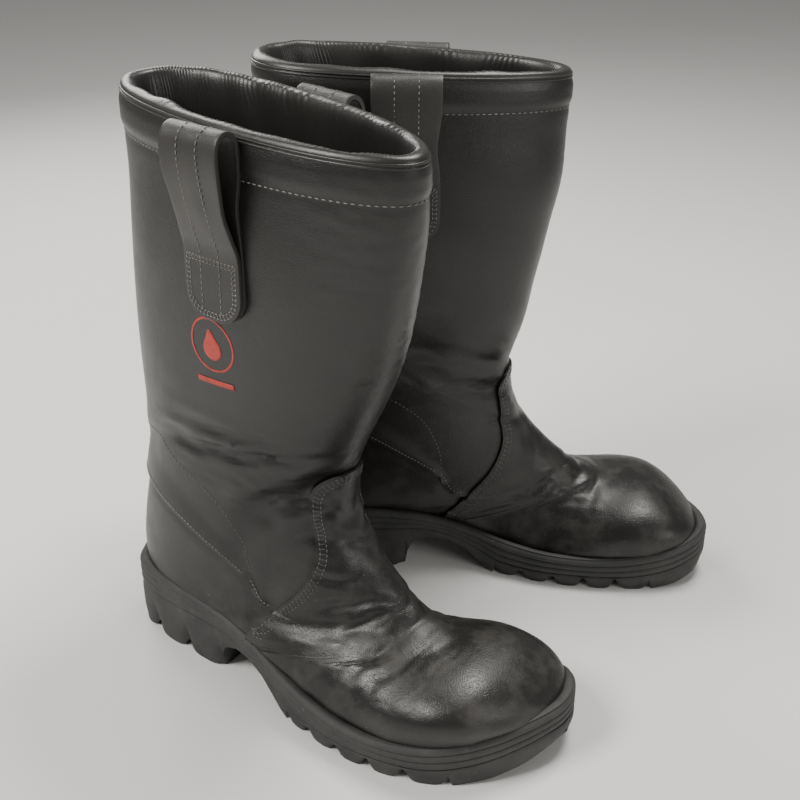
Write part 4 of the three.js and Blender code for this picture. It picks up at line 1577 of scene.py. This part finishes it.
# ---- collar and lining -------------------------------------------------------------------
@dataclass
class Collar:
    """The padded band inside the rim, its two beads, and the lining below it."""

    form: BootForm
    finishes: Finishes
    pleats: int = 150
    pleat_depth: float = 0.45
    swell_depth: float = 0.8
    rows: int = 54  # faces round the band's section
    ring_mm: float = 40.0  # distance from the rim to the next ring
    lining_ring: float = 0.88  # where the lining starts, under the band
    lining_depth: float = 6.0
    lining_wall: float = 1.2

    # Depth under the leather's face and height over the rim, round the padded band.
    profile: tuple = (
        (0.3, -3.0), (0.0, 0.6), (0.5, 2.4), (2.0, 3.7), (4.6, 4.0), (7.4, 2.6), (9.4, -2.0),
        (10.4, -9.0), (10.8, -18.0), (10.2, -27.0), (8.6, -35.0), (6.6, -39.5), (4.4, -39.5),
        (2.6, -36.0), (2.5, -18.0), (2.4, -6.0), (1.4, -4.0),
    )

    # Depth, height and radius of the beads.
    beads: tuple = ((0.1, -0.9, 0.75), (0.15, 0.9, 0.65))

    def __post_init__(self) -> None:
        """Keeps the boot's name and draws the band's soft waves."""
        self.name = self.form.side.value
        self.wave = Ripple(38, 21 if self.form.side is Side.LEFT else 27)
        self.gather = Ripple(16, 31)

    def band(self, angle: Array, depth: Array, height: Array) -> Array:
        """Points of the rim.

        Args:
            angle: Angles round the leg.
            depth: Depths under the leather's face.
            height: Heights over the rim.

        Returns:
            Points in metres.
        """
        below = np.maximum(0, -height) / self.ring_mm
        points = self.form.section(below, angle, depth)
        points[..., 2] += np.maximum(0, height)
        return self.form.world(self.form.turned(below, points))

    def padding(self) -> Piece:
        """Makes the padded band, gathered into fine pleats.

        Returns:
            The band.
        """
        loop, rows = np.array(self.profile, float), self.rows
        closed = np.vstack([loop[-1], loop, loop[0], loop[1]])
        curve = catmull(closed, np.linspace(1, len(loop) + 1, rows + 1))
        around = unit(np.gradient(curve, axis=0))
        out = np.stack([-around[:, 1], around[:, 0]], 1)
        if (out[rows // 3] * (curve[rows // 3] - loop.mean(0))).sum() < 0:
            out = -out

        def place(u: Array, v: Array) -> Array:
            """The band's points, with pleats and soft waves on its inner face.

            Args:
                u: Shares of the way round the leg.
                v: Shares of the way round the band's section.

            Returns:
                Points in metres.
            """
            angle, j = u * FULL_TURN, np.round(v * rows).astype(int)
            depth, height = curve[j].T
            wide = self.form.section(np.zeros_like(angle), angle) * np.array([1, 1, 0.0])
            up = height[:, None] * np.array([0, 0, 1.0])
            inside = smoothstep(1.5, 6, depth) * smoothstep(-39, -32, height)
            phase = self.pleats * angle + 2.2 * self.gather(wide + up)
            pleat = self.pleat_depth * inside * (np.abs(np.sin(phase / 2)) - 0.6)
            pleat *= 0.55 + 0.45 * self.wave(wide * 1.7)
            move = pleat + self.swell_depth * inside * self.wave(wide + up * 1.4)
            return self.band(angle, depth + out[j, 0] * move, height + out[j, 1] * move)

        piece = make_piece(f"{self.name}_collar_band", solid_mesh(600, rows, place), self.finishes.collar)
        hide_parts(f"{self.name}_collar_facing", f"{self.name}_collar_padding")
        return piece

    def bead(self, number: int, depth: float, height: float, radius: float) -> Piece:
        """Makes a thin bead along the outer edge of the rim.

        Args:
            number: Its number in its name.
            depth: Its middle's depth under the leather's face.
            height: Its middle's height over the rim.
            radius: Its radius.

        Returns:
            The bead.
        """

        def place(u: Array, v: Array) -> Array:
            """The bead's points."""
            turn = v * FULL_TURN
            return self.band(u * FULL_TURN, depth + radius * np.cos(turn), height + radius * np.sin(turn))

        return make_piece(f"{self.name}_rim_bead_{number}", solid_mesh(300, 8, place), self.finishes.collar)

    def lining(self) -> Piece:
        """Makes the lining, from under the band down to the toe.

        Returns:
            The lining.
        """

        def place(u: Array, v: Array) -> Array:
            """The lining's points."""
            ring = self.lining_ring + v * (LAST_RING - self.lining_ring)
            return self.form.layer(ring, u * FULL_TURN, self.lining_depth)

        bm = grid_mesh(96, 110, place)
        face_out(bm, self.form.world(np.array([LEG_MIDDLE, 0.0, 150.0])))
        bmesh.ops.reverse_faces(bm, faces=bm.faces)
        piece = make_piece(f"{self.name}_lining_sock", bm, self.finishes.lining)
        give_wall(piece, self.lining_wall)
        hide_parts(f"{self.name}_lining")
        return piece

    def build(self) -> list[Piece]:
        """Makes the band, the beads and the lining.

        Returns:
            The pieces.
        """
        beads = [self.bead(number, *sizes) for number, sizes in enumerate(self.beads, 1)]
        return [self.padding(), *beads, self.lining()]


# ---- pull straps -------------------------------------------------------------------------
@dataclass
class PullStrap:
    """A folded strap: both ends sewn down as a tab, the fold standing up as a loop."""

    form: BootForm
    finishes: Finishes
    face: int  # 1 outside the leg, -1 inside
    width: float = 41.0
    ply: float = 2.3
    tab: float = 35.0
    corner: float = 15.0
    rise: float = 61.0  # from the rim down to the tab's top
    rows: tuple = (-7.0, 7.0)  # the lengthwise rows of stitches
    borders: tuple = (2.2, 4.6)  # the tab's rows, in from its edge
    steps: int = 300  # even steps along the middle line

    # The strap's middle line: out from the leg and up from the tab's top.
    line: tuple = (
        (1.5, -35.0), (1.5, -18.0), (1.5, 0.0), (1.6, 20.0), (1.6, 40.0), (1.8, 54.0),
        (3.4, 61.2), (8.2, 64.2), (13.4, 61.6), (15.6, 54.5), (14.6, 42.0), (11.6, 27.0),
        (7.6, 12.0), (4.6, 1.0), (4.2, -18.0), (4.2, -35.0),
    )

    def __post_init__(self) -> None:
        """Finds the strap's frame on the leg."""
        where = "lateral" if self.face > 0 else "medial"
        self.name = f"{self.form.side.value}_{where}"
        joints = {j["name"]: j for j in frame["joints"]}
        self.pivot = np.array(joints[f"{self.name}_loop_fold"]["pos_m"])
        height = RIM_HEIGHT - self.rise

        def at(dx: float, dz: float) -> Array:
            """A point of the leg's face, in metres."""
            place = self.form.on_side(np.array([self.form.leg_x + dx]), np.array([height + dz]), self.face)
            return self.form.layer(*place, 0.0)[0]

        self.at = at(0, 0)
        self.up = unit(at(0, 40) - at(0, -34))
        out = np.cross(self.up, at(self.width / 2, 0) - at(-self.width / 2, 0))
        centre = self.form.world(np.array([LEG_MIDDLE, 0.0, height]))
        self.out = unit(out * np.sign(((self.at - centre) * out).sum()))
        self.wide = np.cross(self.out, self.up)
        side = 18
        drop = [((at(d, -16) - at(0, -16)) @ self.out) / MM for d in (-side, side)]
        self.sag = -sum(drop) / 2 / side**2
        line = smooth_line(self.line, 30)
        run = distances(line)
        even = np.linspace(0, run[-1], self.steps + 1)
        self.path = np.column_stack([read_at(even, run, line), even])

    def lay(self, across: Array, out: Array, up: Array) -> Array:
        """Points of the strap's frame in the row's frame, wrapped on the leg.

        Args:
            across: Distances across the strap.
            out: Distances out from the leg.
            up: Distances up from the tab's top.

        Returns:
            Points in metres.
        """
        out = out - self.sag * (1 - 0.75 * smoothstep(0, 45, up)) * across**2
        ways = across[:, None] * self.wide + out[:, None] * self.out + up[:, None] * self.up
        return self.at + ways * MM

    def half_width(self, from_end: Array) -> Array:
        """Half the strap's width, rounded off at its ends."""
        short = np.clip(self.corner - from_end, 0, self.corner)
        return self.width / 2 - (self.corner - np.sqrt(np.maximum(0, self.corner**2 - short**2)))

    def build(self) -> list[Piece]:
        """Makes the strap and its stitches.

        Returns:
            The pieces.
        """
        lean = Ripple(30, 41 + self.face)

        def place(u: Array, v: Array) -> Array:
            """The strap's points, a little narrower above the tab and softly curled.

            Args:
                u: Shares of the way across.
                v: Shares of the way along.

            Returns:
                Points in metres.
            """
            out, up, run = read_at(v * self.steps, np.arange(self.steps + 1), self.path).T
            half = self.half_width(np.minimum(run, self.path[-1, 2] - run)) * (1 - 0.11 * bell(up, 24, 15))
            across = (2 * u - 1) * half
            curl = 0.35 * smoothstep(4, 30, up) * lean(np.stack([across, up, out], -1))
            return self.lay(across, out + curl, up)

        strap = make_piece(f"{self.name}_strap", solid_mesh(22, 150, place), self.finishes.strap)
        give_wall(strap, self.ply, 0)
        round_edges(strap, 0.45)
        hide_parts(f"{self.name}_loop_tab", f"{self.name}_pull_loop")
        stitches = make_piece(f"{self.name}_strap_stitches", self.sew(), self.finishes.thread)
        low, high = self.pivot - self.up * 2 * MM, self.pivot + self.up * 9 * MM
        for piece in (strap, stitches):
            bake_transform(piece)
        return [strap, stitches]

    def border(self, inset: float) -> Array:
        """A stitch line round the tab.

        Args:
            inset: How far in from the tab's edge it runs.

        Returns:
            Points across and up the strap.
        """
        half, r = self.width / 2 - inset, self.corner - inset
        foot, top = -self.tab + inset, -2.0 - (inset - self.borders[0])
        turn = np.linspace(0, math.pi / 2, 24)
        left = np.stack([-half + r - r * np.cos(turn), foot + r - r * np.sin(turn)], 1)
        right = np.stack([half - r + r * np.sin(turn), foot + r - r * np.cos(turn)], 1)
        corners = np.vstack([[[-half, top]], left, right, [[half, top]], [[-half, top]]])
        run = distances(corners)
        return read_at(np.linspace(0, run[-1], 240), run, corners)

    def sew(self) -> Mesh:
        """Sews the lengthwise rows, the border of the tab and the row at its top.

        Returns:
            The stitches.
        """
        thread, line, run = Thread(), self.path[:, :2], self.path[:, 2]
        ahead = unit(np.gradient(line, axis=0))
        off = np.stack([-ahead[:, 1], ahead[:, 0]], 1)
        normal = off[:, :1] * self.out + off[:, 1:] * self.up
        outer = line + off * (self.ply / 2 + 0.1)
        keep = (run > 40) & (run < run[-1] - 3.5)
        for across in self.rows:
            points = self.lay(np.full(len(outer), across), outer[:, 0], outer[:, 1])
            thread.row(points[keep], normal[keep], 3.3, 2.4, 0.75)
        face_out_mm = self.line[-1][0] + self.ply / 2 + 0.15
        lines = []
        for inset in self.borders:
            flat = self.border(inset)
            normals = np.tile(self.out, (len(flat), 1))
            lines.append(self.lay(flat[:, 0], np.full(len(flat), face_out_mm), flat[:, 1]))
            thread.row(lines[-1], normals, 2.7, 2.1, 0.7)
        thread.ladder(*lines, normals, 2.7, 0.4)
        return thread.bm


# ---- assembly ----------------------------------------------------------------------------
@dataclass
class Boot:
    """One whole boot."""

    side: Side
    finishes: Finishes

    def build(self) -> None:
        """Builds every piece, lets the upper's, sole's and collar's pieces ride on the boot's body and dresses the
        hidden nodes.
        """
        form, looks = BootForm(self.side), self.finishes
        for part in (Upper(form, looks), Sole(form, looks), Collar(form, looks)):
            for piece in part.build():
                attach(piece, f"{self.side.value}_boot")
                LOG.info("%s: %d faces", piece.name, len(piece.data.polygons))
        for face in (1, -1):
            for piece in PullStrap(form, looks, face).build():
                LOG.info("%s: %d faces", piece.name, len(piece.data.polygons))
        inner = {
            "toe_cap": looks.steel, "sole_plate": looks.steel, "shank": looks.steel,
            "heel_counter": looks.board, "insole_board": looks.board, "footbed": looks.footbed,
        }
        for node, material in inner.items():
            materials = frame["nodes"][f"{self.side.value}_{node}"].data.materials
            materials.clear()
            materials.append(material)


@dataclass(frozen=True)
class Studio:
    """Floor, soft lights and the camera."""

    camera_at: tuple[float, float, float] = (0.0246, -0.62, 0.4796)
    pitch: float = 27.08
    azimuth: float = 4.13
    lens: float = 51.34
    sensor: float = 36.0
    floor_size: float = 6.0
    sky: tuple[float, float, float, float] = (1.0, 0.995, 0.96, 1)
    sky_strength: float = 0.26
    lamp_color: tuple[float, float, float] = (1.0, 0.99, 0.945)
    aim: tuple[float, float, float] = (0, 0, 0.15)

    # Each lamp's name, place, watts and size.
    lamps: tuple = (
        ("key", (-1.0, -0.6, 1.3), 25, 0.6),
        ("fill", (1.2, -0.9, 0.8), 7, 0.8),
        ("top", (0.35, 0.35, 1.5), 20, 0.5),
        ("rim", (-0.7, 1.0, 0.9), 10, 0.6),
    )

    def build(self) -> None:
        """Sets up the stage."""
        scene = bpy.context.scene
        bm = bmesh.new()
        bmesh.ops.create_grid(bm, x_segments=1, y_segments=1, size=self.floor_size)
        make_piece("floor", bm, FloorFinish("pale_floor").make(), smooth=False)
        data = bpy.data.cameras.new("camera")
        data.lens, data.sensor_width = self.lens, self.sensor
        scene.camera = bpy.data.objects.new("camera", data)
        scene.camera.location = self.camera_at
        scene.camera.rotation_euler = (math.radians(90 - self.pitch), 0, math.radians(self.azimuth))
        scene.collection.objects.link(scene.camera)
        scene.world = bpy.data.worlds.new("studio")
        scene.world.use_nodes = True
        background = scene.world.node_tree.nodes["Background"].inputs
        background["Color"].default_value = self.sky
        background["Strength"].default_value = self.sky_strength
        for lamp in self.lamps:
            self.light(*lamp)

    def light(self, name: str, at: tuple[float, float, float], watts: float, size: float) -> None:
        """Adds a soft light that looks at the boots.

        Args:
            name: Its name.
            at: Its place.
            watts: Its power.
            size: The length of its side.
        """
        data = bpy.data.lights.new(name, "AREA")
        data.energy, data.size, data.color = watts, size, self.lamp_color
        lamp = bpy.data.objects.new(name, data)
        lamp.location = at
        lamp.rotation_euler = (Vector(self.aim) - Vector(at)).to_track_quat("-Z", "Y").to_euler()
        bpy.context.scene.collection.objects.link(lamp)


def main() -> None:
    """Builds the studio and the pair."""
    Studio().build()
    finishes = Finishes()
    for side in Side:
        Boot(side, finishes).build()


if __name__ == "__main__":
    main()
